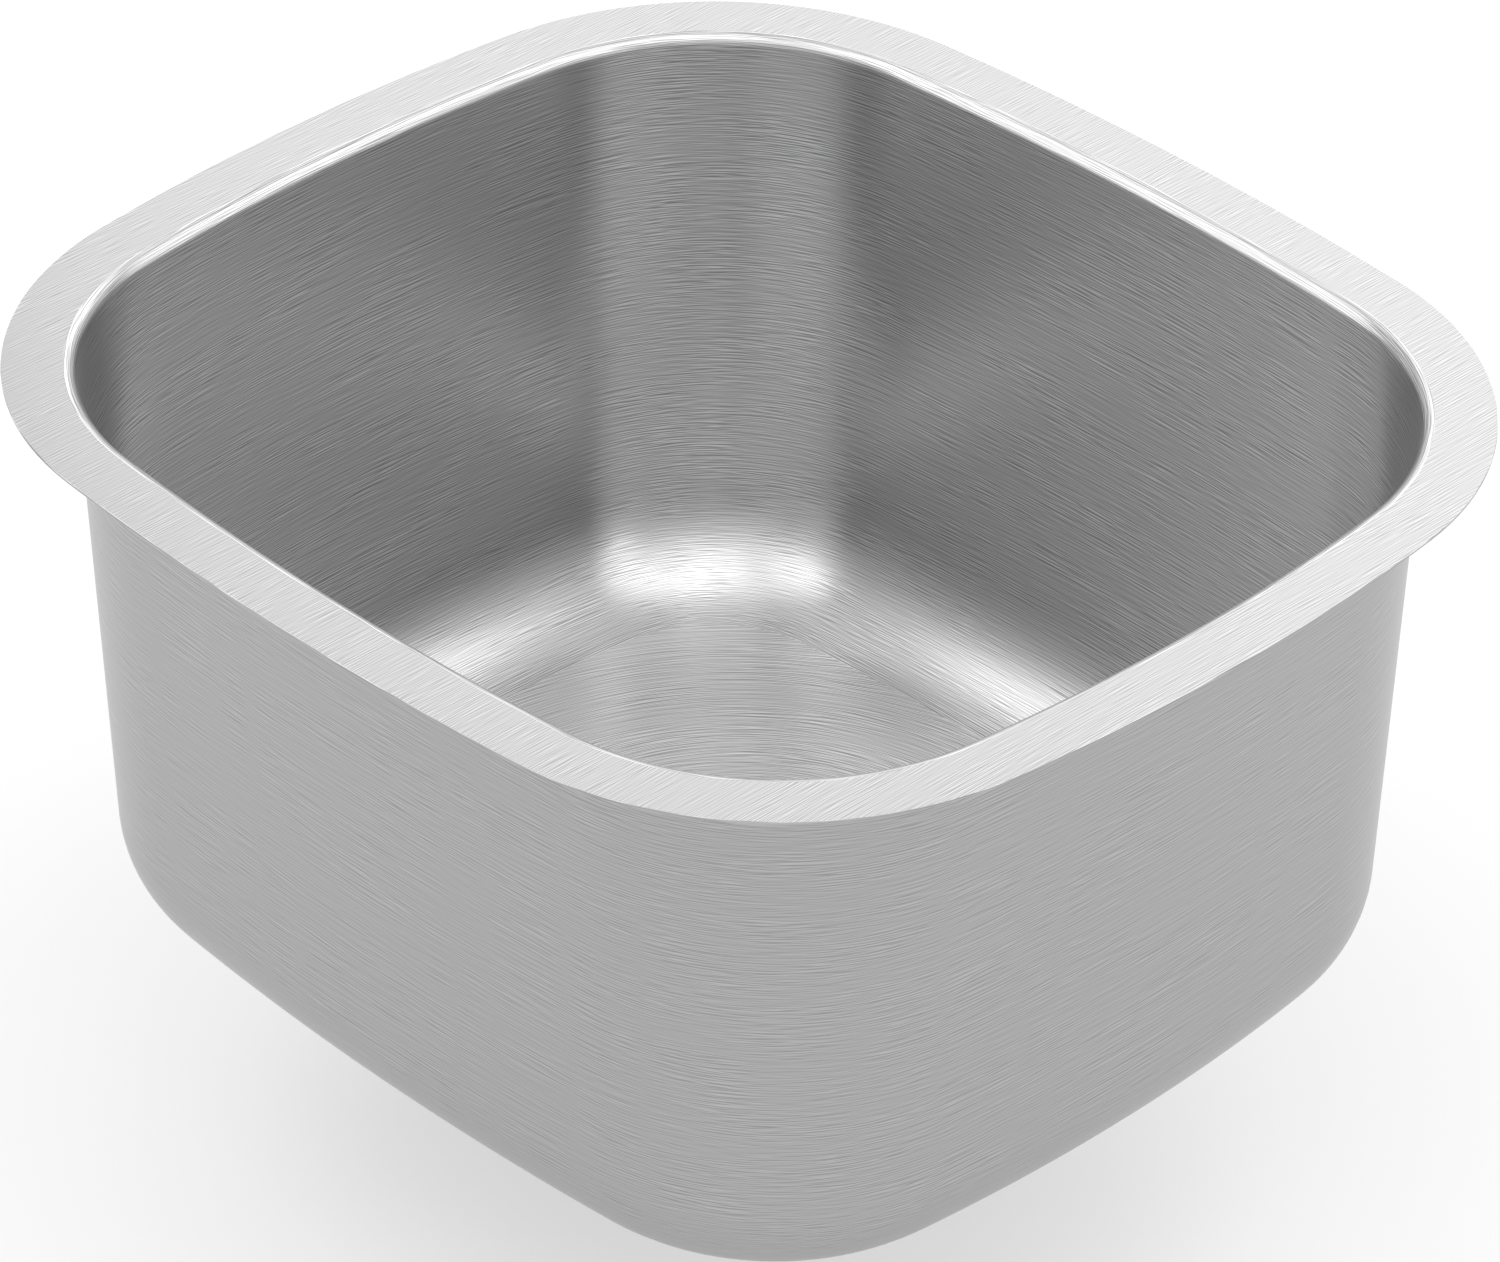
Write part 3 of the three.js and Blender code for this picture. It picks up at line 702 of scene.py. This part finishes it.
def make_rings():
    """The seal, gasket, friction ring and washer between the clamped parts."""
    seal = turned_ring("flange_seal", "strainer_seal", DRAIN_RADIUS, 0.5 * MM)
    finish(seal, natural_nylon, "sink", "white_nylon", "strainer_seal")
    gasket = turned_ring("gasket", "drain_gasket", LOCKNUT_BORE, 0.7 * MM)
    finish(gasket, nitrile_rubber, "sink", "black_rubber", "drain_gasket")
    fibre = turned_ring("fibre_ring", "friction_ring", LOCKNUT_BORE, 0.15 * MM)
    finish(fibre, vulcanised_fibre, "sink", "fibre_board", "friction_ring")
    washer = turned_ring("slip_washer", "pipe_washer", PIPE_BORE, 0.5 * MM)
    finish(washer, natural_nylon, "sink", "white_nylon", "pipe_washer")


# ------------------------------------------------------------------ sound pads


def make_pad(name, node):
    """Rubber sheet that follows the floor's underside, cut to a round-cornered rectangle."""
    low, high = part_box(node)
    reach = math.hypot(max(abs(low.x), abs(high.x)), max(abs(low.y), abs(high.y)))
    pad = draw_section(
        name,
        [
            (STEP_TOP, SEAT + RECESS_DROP),
            (DISH_START, -BOWL_DEPTH, DISH_BLEND),
            (reach, -BOWL_DEPTH),
        ],
        step=1 * DEGREE,
    )
    turn_round(pad, DRAIN_STEPS)
    if pad.data.polygons[0].normal.z < 0:
        pad.data.flip_normals()
    glued = SHEET + FIT
    modify(pad, "SOLIDIFY", thickness=PAD_THICKNESS, offset=-1 - 2 * glued / PAD_THICKNESS)

    deselect()
    bpy.context.view_layer.objects.active = pad
    bpy.ops.object.mode_set(mode="EDIT")
    for corner, sign in ((low, -1), (high, 1)):
        for normal in ((sign, 0, 0), (0, sign, 0)):
            bpy.ops.mesh.select_all(action="SELECT")
            bpy.ops.mesh.bisect(plane_co=corner, plane_no=normal, use_fill=True, clear_outer=True)
    bpy.ops.mesh.select_mode(type="EDGE")
    bpy.ops.mesh.select_all(action="DESELECT")
    mesh = bmesh.from_edit_mesh(pad.data)
    for line in mesh.edges:
        a, b = (vertex.co for vertex in line.verts)
        at_corner = [
            any(abs(point[axis] - corner[axis]) < MERGE for corner in (low, high))
            for point in (a, b)
            for axis in (0, 1)
        ]
        line.select = all(at_corner) and abs(a.z - b.z) > PAD_THICKNESS / 2
    bpy.ops.mesh.bevel(offset=PAD_CORNER, segments=10)
    bpy.ops.object.mode_set(mode="OBJECT")
    break_edges(pad, 60 * DEGREE, PAD_EDGE)
    finish(pad, pad_rubber, "sink", "grey_rubber", node)


# ------------------------------------------------------------------ basket


def make_basket_cup():
    """A pressed cup: slots round its wall, holes in its floor and a rim that turns down."""
    floor = CUP_LOW.z + BASKET_SHEET
    cup = turned_sheet(
        "basket",
        [
            (POST_BORE, floor),
            (BASKET_FLOOR, floor, BASKET_CORNER),
            (BASKET_MOUTH, CUP_HIGH.z, BASKET_BEND),
            (BASKET_RIM, CUP_HIGH.z, BASKET_BEND),
            (BASKET_RIM, CUP_HIGH.z - BASKET_TURN_DOWN),
        ],
        BASKET_SHEET,
    )
    low, high = CUP_LOW.z + SLOT_MARGIN, CUP_HIGH.z - SLOT_MARGIN
    length = BASKET_RIM - BASKET_FLOOR / 2
    middle = (BASKET_RIM + BASKET_FLOOR / 2) / 2
    slot = block("slot", (length, SLOT_WIDTH, high - low), (middle, 0, (low + high) / 2))
    deselect()
    bpy.context.view_layer.objects.active = slot
    bpy.ops.object.mode_set(mode="EDIT")
    bpy.ops.mesh.select_mode(type="EDGE")
    bpy.ops.mesh.select_all(action="DESELECT")
    for line in bmesh.from_edit_mesh(slot.data).edges:
        line.select = abs(line.verts[0].co.x - line.verts[1].co.x) > length / 2
    bpy.ops.mesh.bevel(offset=SLOT_ROUNDING, segments=6)
    bpy.ops.object.mode_set(mode="OBJECT")
    combine(cup, copy_round(slot, BASKET_SLOTS), "DIFFERENCE")
    for radius, count in HOLE_RINGS:
        hole = rod("hole", HOLE_RADIUS, 4 * BASKET_SHEET, (radius, 0, floor), HOLE_SIDES)
        combine(cup, copy_round(hole, count), "DIFFERENCE")
    finish(cup, polished_stainless, "basket", "polished_steel", "basket_cup")


def make_post():
    """Turned post: a nose and a groove for the catch below, a collar on the basket's floor."""
    catch = (CATCH_LOW.z + CATCH_HIGH.z) / 2
    groove = (CATCH_HIGH.z - CATCH_LOW.z) / 2 + FIT
    collar = CUP_LOW.z + BASKET_SHEET + FIT
    edge = 0.3 * MM
    post = turned_solid(
        "post",
        [
            (0, POST_LOW.z),
            (POST_RADIUS / 2, POST_LOW.z, edge),
            (POST_RADIUS, POST_LOW.z + POST_NOSE, edge),
            (POST_RADIUS, catch - groove),
            (GROOVE_RADIUS, catch - groove),
            (GROOVE_RADIUS, catch + groove),
            (POST_RADIUS, catch + groove),
            (POST_RADIUS, collar),
            (COLLAR_RADIUS, collar, edge),
            (COLLAR_RADIUS, collar + COLLAR_HEIGHT, edge),
            (POST_RADIUS, collar + COLLAR_HEIGHT, edge),
            (POST_RADIUS, POST_HIGH.z),
            (0, POST_HIGH.z),
        ],
        POST_STEPS,
    )
    finish(post, polished_stainless, "basket", "polished_steel", "basket_post")


def make_knob():
    knob = turned_solid(
        "knob",
        [
            (0, KNOB_LOW.z + KNOB_SOCKET),
            (POST_BORE, KNOB_LOW.z + KNOB_SOCKET),
            (POST_BORE, KNOB_LOW.z),
            (KNOB_WAIST, KNOB_LOW.z, 0.4 * MM),
            (KNOB_WAIST, KNOB_HIGH.z - KNOB_HEAD, 1.2 * MM),
            (KNOB_RADIUS, KNOB_HIGH.z - KNOB_HEAD, 1 * MM),
            (KNOB_RADIUS, KNOB_HIGH.z, 2 * MM),
            (0, KNOB_HIGH.z),
        ],
        2 * POST_STEPS,
    )
    finish(knob, polished_stainless, "basket", "polished_steel", "basket_knob")


def make_stopper():
    """Rubber disc whose edge lies on the strainer's cone."""
    thickness = STOPPER_HIGH.z - STOPPER_LOW.z
    flare = thickness / math.tan(CONE_SLOPE)
    edge = 0.1 * MM
    middle = (STOPPER_LOW.z + STOPPER_HIGH.z) / 2
    stopper = turned_solid(
        "stopper",
        [
            (POST_BORE, middle),
            (POST_BORE, STOPPER_LOW.z, edge),
            (STOPPER_HIGH.x - flare, STOPPER_LOW.z, edge),
            (STOPPER_HIGH.x, STOPPER_HIGH.z, edge),
            (POST_BORE, STOPPER_HIGH.z, edge),
            (POST_BORE, middle),
        ],
    )
    finish(stopper, nitrile_rubber, "basket", "black_rubber", "basket_stopper")


def make_clamp():
    """The washer and nut that hold the stopper up against the basket."""
    washer = turned_ring("washer", "clamp_washer", POST_BORE, 0.25 * MM, 2 * POST_STEPS)
    finish(washer, polished_stainless, "basket", "polished_steel", "clamp_washer")

    low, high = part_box("post_nut")
    corner = high.x
    height = high.z - low.z
    middle = (low.z + high.z) / 2
    nut = rod("nut", corner, height, (0, 0, middle), 6, turned=(0, 0, 90 * DEGREE))
    chamfer = height / 8
    turned = turned_solid(
        "nut_chamfers",
        [
            (0, low.z),
            (corner - 2 * chamfer, low.z),
            (corner + MM, low.z + chamfer + MM / 2),
            (corner + MM, high.z - chamfer - MM / 2),
            (corner - 2 * chamfer, high.z),
            (0, high.z),
        ],
        POST_STEPS,
    )
    combine(nut, turned, "INTERSECT")
    combine(nut, rod("nut_bore", POST_BORE, 2 * height, (0, 0, middle), POST_STEPS), "DIFFERENCE")
    finish(nut, polished_stainless, "basket", "polished_steel", "post_nut")


def make_catch():
    """Open ring of spring wire, round the post's groove."""
    wire = (CATCH_HIGH.z - CATCH_LOW.z) / 2
    radius = CATCH_RADIUS - wire
    half_gap = math.asin(CATCH_OPENING / 2 / radius)
    deselect()
    bpy.ops.mesh.primitive_circle_add(
        vertices=WIRE_SIDES,
        radius=wire,
        fill_type="NGON",
        location=(radius, 0, (CATCH_LOW.z + CATCH_HIGH.z) / 2),
        rotation=(90 * DEGREE, 0, 0),
    )
    catch = bpy.context.object
    catch.name = "catch"
    bpy.ops.object.transform_apply(location=True, rotation=True)
    bpy.ops.object.mode_set(mode="EDIT")
    bpy.ops.mesh.select_all(action="SELECT")
    bpy.ops.transform.rotate(value=-half_gap, orient_axis="Z", center_override=(0, 0, 0))
    sweep(POST_STEPS, TURN - 2 * half_gap)
    bpy.ops.mesh.select_all(action="SELECT")
    bpy.ops.mesh.normals_make_consistent(inside=False)
    bpy.ops.object.mode_set(mode="OBJECT")
    finish(catch, polished_stainless, "basket", "polished_steel", "post_catch")


# ------------------------------------------------------------------ materials


def colour(text):
    """An sRGB hex value as a linear colour."""
    shares = [int(text[i : i + 2], 16) / 255 for i in (1, 3, 5)]
    linear = [s / 12.92 if s <= 0.04045 else ((s + 0.055) / 1.055) ** 2.4 for s in shares]
    return (*linear, 1)


def add(tree, kind, links=None, values=None, **settings):
    """A node of a kind, with its settings, its sockets' values, and links into its sockets."""
    made = tree.nodes.new("ShaderNode" + kind)
    for name, value in settings.items():
        setattr(made, name, value)
    for socket, value in (values or {}).items():
        made.inputs[socket].default_value = value
    for socket, source in (links or {}).items():
        tree.links.new(source, made.inputs[socket])
    return made


def start_material(name):
    material = bpy.data.materials.new(name)
    material.use_nodes = True
    tree = material.node_tree
    tree.nodes.clear()
    return material, tree


def finish_material(tree, shader):
    add(tree, "OutputMaterial", links={"Surface": shader.outputs[0]})


LINE_WIDTH = 0.55 * MM  # a real line is a tenth of this, too fine to show in the render
LINE_LENGTH = 16 * MM
LINE_SIDE = 0.4  # from a line's painted highlight side to its painted shade side, as a share of its width
CLUMP_WIDTH = 12 * MM
CLUMP_LENGTH = 40 * MM
GROOVE_DEPTH = 0.01 * MM
TONE_REACH = 0.13  # how deep or high a groove is where it has its full painted shade or painted highlight colour
GLOSS_REACH = 0.3  # and where it is smoothest or roughest
LINE_SMEAR = 0.75  # how much more the reflections smear across the lines than along them


def brushed_steel(name, dark, light, round_length=None):
    """304 stainless steel, worked with abrasive belts: soft grey metal whose fine parallel lines smear
    its reflections across them. Dark and light are the colours of a line's shaded and lit sides, painted
    shade and painted highlight on each groove, and their levels are set per zone as painted light and
    shade.
    Where the lines run round a closed path, round_length is its length."""
    material, tree = start_material(name)
    place = add(tree, "UVMap", uv_map="brushing")
    parts = add(tree, "SeparateXYZ", links={0: place.outputs["UV"]})
    along, across = parts.outputs[0], parts.outputs[1]
    if round_length:
        angle = add(tree, "Math", operation="MULTIPLY", links={0: along}, values={1: TURN})
        cosine = add(tree, "Math", operation="COSINE", links={0: angle.outputs[0]})
        sine = add(tree, "Math", operation="SINE", links={0: angle.outputs[0]})
        path = add(
            tree, "CombineXYZ", links={0: cosine.outputs[0], 1: sine.outputs[0], 2: across}
        )
        radius = round_length / TURN
    else:
        path = add(tree, "CombineXYZ", links={0: along, 2: across})
        radius = 1

    def lines(length, width, shift=0):
        scaled = add(
            tree,
            "Mapping",
            links={"Vector": path.outputs[0]},
            values={
                "Location": (0, 0, shift),
                "Scale": (radius / length, radius / length, 1 / width),
            },
        )
        return add(
            tree,
            "TexNoise",
            links={"Vector": scaled.outputs[0]},
            values={"Scale": 1, "Detail": 0},
        )

    # The difference of one pattern and its shifted copy leaves only fine lines. They come in
    # clumps, with smoother strips between them.
    fine = lines(LINE_LENGTH, LINE_WIDTH)
    beside = lines(LINE_LENGTH, LINE_WIDTH, LINE_SIDE)
    clumps = lines(CLUMP_LENGTH, CLUMP_WIDTH)
    strength = add(
        tree,
        "MapRange",
        links={"Value": clumps.outputs["Fac"]},
        values={"From Min": 0.4, "From Max": 0.65, "To Min": 0.5, "To Max": 1.3},
    )
    edges = add(
        tree,
        "Math",
        operation="SUBTRACT",
        links={0: fine.outputs["Fac"], 1: beside.outputs["Fac"]},
    )
    grooves = add(
        tree,
        "Math",
        operation="MULTIPLY",
        links={0: edges.outputs[0], 1: strength.outputs[0]},
    )
    # Each groove's two sides are coloured darker and lighter here: painted shade and painted highlight on
    # the lines, besides the real relief that the bump gives them below.
    tone = add(
        tree,
        "MapRange",
        links={"Value": grooves.outputs[0]},
        values={"From Min": -TONE_REACH, "From Max": TONE_REACH},
    )
    base = add(
        tree,
        "Mix",
        data_type="RGBA",
        links={"Factor": tone.outputs[0]},
        values={6: colour(dark), 7: colour(light)},
    )
    roughness = add(
        tree,
        "MapRange",
        links={"Value": grooves.outputs[0]},
        values={
            "From Min": -GLOSS_REACH, "From Max": GLOSS_REACH, "To Min": 0.36, "To Max": 0.28
        },
    )
    relief = add(
        tree,
        "Bump",
        links={"Height": grooves.outputs[0]},
        values={"Strength": 1, "Distance": GROOVE_DEPTH},
    )
    tangent = add(tree, "Tangent", direction_type="UV_MAP", uv_map="brushing")
    shader = add(
        tree,
        "BsdfPrincipled",
        links={
            "Base Color": base.outputs[2],
            "Roughness": roughness.outputs[0],
            "Normal": relief.outputs[0],
            "Tangent": tangent.outputs[0],
        },
        values={"Metallic": 1, "Anisotropic": LINE_SMEAR, "Anisotropic Rotation": 0.25},
    )
    finish_material(tree, shader)
    return material


def grained(name, grain, depth, colours, roughness, **values):
    """A material with spots of a size all through: its bump, its colour and its roughness follow them."""
    material, tree = start_material(name)
    place = add(tree, "TexCoord")
    spots = add(
        tree,
        "TexNoise",
        links={"Vector": place.outputs["Object"]},
        values={"Scale": 1 / grain, "Detail": 3, "Roughness": 0.6},
    )
    tone = add(
        tree,
        "MapRange",
        links={"Value": spots.outputs["Fac"]},
        values={"From Min": 0.3, "From Max": 0.7},
    )
    base = add(
        tree,
        "Mix",
        data_type="RGBA",
        links={"Factor": tone.outputs[0]},
        values={6: colour(colours[0]), 7: colour(colours[1])},
    )
    rough = add(
        tree,
        "MapRange",
        links={"Value": tone.outputs[0]},
        values={"To Min": roughness[0], "To Max": roughness[1]},
    )
    relief = add(
        tree,
        "Bump",
        links={"Height": spots.outputs["Fac"]},
        values={"Strength": 1, "Distance": depth},
    )
    shader = add(
        tree,
        "BsdfPrincipled",
        links={
            "Base Color": base.outputs[2],
            "Roughness": rough.outputs[0],
            "Normal": relief.outputs[0],
        },
        values=values,
    )
    finish_material(tree, shader)
    return material


def make_zinc():
    """Zinc alloy, pressure die cast and left bare: dull grey metal with a fine skin of cast grain."""
    return grained(
        "die_cast_zinc", 1.4 * MM, 0.12 * MM, ("#8f9194", "#aeb0b2"), (0.36, 0.52), Metallic=1
    )


def make_nitrile():
    """Nitrile rubber, compression moulded: near black, with the dull bloom of a mould's blasted face."""
    return grained(
        "nitrile_rubber", 0.8 * MM, 0.05 * MM, ("#17181a", "#242628"), (0.58, 0.74), IOR=1.52
    )


def make_pad_rubber():
    """Filled butyl sheet, calendered: grey and dull, pitted by its mineral filler."""
    return grained(
        "butyl_pad", 1.8 * MM, 0.25 * MM, ("#45474a", "#606266"), (0.8, 0.95), IOR=1.52
    )


def make_fibre():
    """Vulcanised fibre board, cut from sheet: brown card with cloudy fibres and a hard, dull face."""
    return grained(
        "vulcanised_fibre", 2.5 * MM, 0.04 * MM, ("#7a6347", "#9c8664"), (0.7, 0.85), IOR=1.53
    )


def make_nylon():
    """Nylon 66 without pigment, injection moulded: milky, with a low satin shine."""
    return grained(
        "natural_nylon", 1.2 * MM, 0.02 * MM, ("#dedbcf", "#eae7dc"), (0.4, 0.5), IOR=1.53
    )


BUFF_LINE = 0.45 * MM  # drawn coarser than a buffing wheel's lines, so that they show
BUFF_DEPTH = 0.01 * MM


def make_polished():
    """304 stainless steel, pressed and then buffed as it turned: a bright face with faint round lines."""
    material, tree = start_material("polished_stainless")
    place = add(tree, "TexCoord")
    parts = add(tree, "SeparateXYZ", links={0: place.outputs["Object"]})
    outwards = add(
        tree,
        "VectorMath",
        operation="MULTIPLY",
        links={0: place.outputs["Object"]},
        values={1: (1, 1, 0)},
    )
    radius = add(tree, "VectorMath", operation="LENGTH", links={0: outwards.outputs[0]})
    section = add(tree, "CombineXYZ", links={0: radius.outputs["Value"], 1: parts.outputs[2]})
    lines = add(
        tree,
        "TexNoise",
        links={"Vector": section.outputs[0]},
        values={"Scale": 1 / BUFF_LINE, "Detail": 2, "Roughness": 0.6},
    )
    base = add(
        tree,
        "Mix",
        data_type="RGBA",
        links={"Factor": lines.outputs["Fac"]},
        values={6: colour("#bcbcbc"), 7: colour("#dadada")},
    )
    roughness = add(
        tree,
        "MapRange",
        links={"Value": lines.outputs["Fac"]},
        values={"From Min": 0.3, "From Max": 0.7, "To Min": 0.2, "To Max": 0.12},
    )
    relief = add(
        tree,
        "Bump",
        links={"Height": lines.outputs["Fac"]},
        values={"Strength": 1, "Distance": BUFF_DEPTH},
    )
    shader = add(
        tree,
        "BsdfPrincipled",
        links={
            "Base Color": base.outputs[2],
            "Roughness": roughness.outputs[0],
            "Normal": relief.outputs[0],
        },
        values={"Metallic": 1},
    )
    finish_material(tree, shader)
    return material


WALL_ROUND = 1.45  # length of the brushing's path round the wall, in metres
FLOOR_ROUND = TURN * 100 * MM  # round the floor, halfway out from the drain

# One steel in four zones. The brushing's direction differs for real, but each zone's dark and light
# colours are set lighter or darker to match how bright that zone looks: painted light and shade. The
# outside's darker, flatter colours are painted shade.
flange_steel_painted_light_and_shade = brushed_steel("brushed_stainless_flange", "#a7a7a7", "#cfcfcf")
wall_steel_painted_light_and_shade = brushed_steel("brushed_stainless_wall", "#a0a0a0", "#ebebeb", WALL_ROUND)
floor_steel_painted_light_and_shade = brushed_steel("brushed_stainless_floor", "#a4a4a4", "#f2f2f2", FLOOR_ROUND)
outside_steel_painted_shade = brushed_steel("brushed_stainless_outside", "#999999", "#b7b7b7", WALL_ROUND)
polished_stainless = make_polished()
cast_zinc = make_zinc()
nitrile_rubber = make_nitrile()
pad_rubber = make_pad_rubber()
vulcanised_fibre = make_fibre()
natural_nylon = make_nylon()

make_bowl()
for side in ("right", "left", "back", "front"):
    make_pad(f"{side}_pad", f"pad_{side}")
make_strainer_body()
make_strainer_outlet()
make_coupling_nut()
make_locknut()
make_rings()
make_basket_cup()
make_post()
make_knob()
make_stopper()
make_clamp()
make_catch()

# ------------------------------------------------------------------ studio

FLOOR_LEVEL = cad_box[0].z
TARGET = Vector((0, 0, -114 * MM))
CAMERA_AZIMUTH = 225.899
CAMERA_ELEVATION = 34.966
CAMERA_ROLL = 0.363
CAMERA_DISTANCE = 2.72012
CAMERA_SENSOR = 36  # mm, like the lens
CAMERA_LENS = 184.25
CAMERA_SHIFT = (0.0039, 0.0120)
FLOOR_RADIUS = 6
FLOOR_WHITE = 0.5  # share of the floor that shows plain white, whatever light falls on it
WORLD_LEVEL = 0.7
LAMP_DISTANCE = 3

SOFTBOXES = (  # azimuth, elevation, width and height in degrees as the sink sees them, and radiance
    ("left_low_box", 135, 15, 29, 20, 1.5),
    ("right_low_box", 315, 15, 29, 20, 0.9),
    ("left_middle_box", 135, 35, 29, 20, 0.8),
    ("right_middle_box", 318, 35, 29, 20, 0.8),
    ("right_wall_box", 285, 35, 25, 20, 1.2),
    ("back_wall_box", 15, 35, 25, 20, 1.2),
    ("left_back_box", 112, 55, 26, 20, 1.5),
    ("left_box", 157, 55, 26, 20, 1.8),
    ("front_left_box", 202, 55, 26, 20, 0.9),
    ("front_right_box", 247, 55, 26, 20, 0.9),
    ("right_box", 292, 55, 26, 20, 0.9),
    ("right_back_box", 337, 55, 26, 20, 1.5),
    ("left_top_box", 135, 77, 20, 25, 0.9),
    ("right_top_box", 315, 77, 20, 25, 1.7),
    ("front_top_box", 225, 77, 20, 25, 1.2),
    ("back_box", 45, 35, 25, 20, 1.35),
)


def towards(azimuth, elevation):
    """The direction from the sink to an azimuth, turned from +X towards +Y, and an elevation."""
    level = math.cos(elevation * DEGREE)
    return Vector(
        (
            math.cos(azimuth * DEGREE) * level,
            math.sin(azimuth * DEGREE) * level,
            math.sin(elevation * DEGREE),
        )
    )


def make_camera():
    camera = bpy.data.objects.new("camera", bpy.data.cameras.new("camera"))
    bpy.context.scene.collection.objects.link(camera)
    bpy.context.scene.camera = camera
    back = towards(CAMERA_AZIMUTH, CAMERA_ELEVATION)
    camera.location = TARGET + back * CAMERA_DISTANCE
    roll = Matrix.Rotation(CAMERA_ROLL * DEGREE, 3, "Z").to_quaternion()
    camera.rotation_mode = "QUATERNION"
    camera.rotation_quaternion = (-back).to_track_quat("-Z", "Y") @ roll
    camera.data.sensor_width = CAMERA_SENSOR
    camera.data.lens = CAMERA_LENS
    camera.data.shift_x, camera.data.shift_y = CAMERA_SHIFT
    camera.data.clip_start = 0.05
    camera.data.clip_end = 50


def make_softbox(name, azimuth, elevation, width, height, radiance):
    lamp = bpy.data.lights.new(name, "AREA")
    lamp.shape = "RECTANGLE"
    lamp.size = 2 * LAMP_DISTANCE * math.tan(width / 2 * DEGREE)
    lamp.size_y = 2 * LAMP_DISTANCE * math.tan(height / 2 * DEGREE)
    lamp.energy = radiance * math.pi * lamp.size * lamp.size_y
    softbox = bpy.data.objects.new(name, lamp)
    bpy.context.scene.collection.objects.link(softbox)
    softbox.visible_camera = False
    facing = towards(azimuth, elevation)
    softbox.location = TARGET + facing * LAMP_DISTANCE
    softbox.rotation_mode = "QUATERNION"
    softbox.rotation_quaternion = facing.to_track_quat("Z", "Y")


def make_floor():
    deselect()
    bpy.ops.mesh.primitive_circle_add(
        vertices=96, radius=FLOOR_RADIUS, fill_type="NGON", location=(0, 0, FLOOR_LEVEL)
    )
    floor = bpy.context.object
    floor.name = "floor"
    bpy.ops.object.transform_apply(location=True)
    material, tree = start_material("studio_paper")
    paper = add(tree, "BsdfDiffuse", values={"Color": colour("#f4f4f4")})
    white = add(tree, "Emission", values={"Color": (1, 1, 1, 1), "Strength": 1})
    path = add(tree, "LightPath")
    seen = add(
        tree,
        "Math",
        operation="MAXIMUM",
        links={0: path.outputs["Is Camera Ray"], 1: path.outputs["Is Glossy Ray"]},
    )
    seen_all = add(
        tree,
        "Math",
        operation="MAXIMUM",
        links={0: seen.outputs[0], 1: path.outputs["Is Transmission Ray"]},
    )
    share = add(
        tree, "Math", operation="MULTIPLY", links={0: seen_all.outputs[0]}, values={1: FLOOR_WHITE}
    )
    mixed = add(
        tree, "MixShader", links={0: share.outputs[0], 1: paper.outputs[0], 2: white.outputs[0]}
    )
    finish_material(tree, mixed)
    floor.data.materials.append(material)


def make_world():
    world = bpy.data.worlds.new("studio")
    bpy.context.scene.world = world
    world.use_nodes = True
    tree = world.node_tree
    tree.nodes.clear()
    sky = add(tree, "Background", values={"Color": (1, 1, 1, 1), "Strength": WORLD_LEVEL})
    add(tree, "OutputWorld", links={"Surface": sky.outputs[0]})


make_camera()
make_floor()
make_world()
for softbox in SOFTBOXES:
    make_softbox(*softbox)

bpy.context.scene.view_settings.view_transform = "Standard"
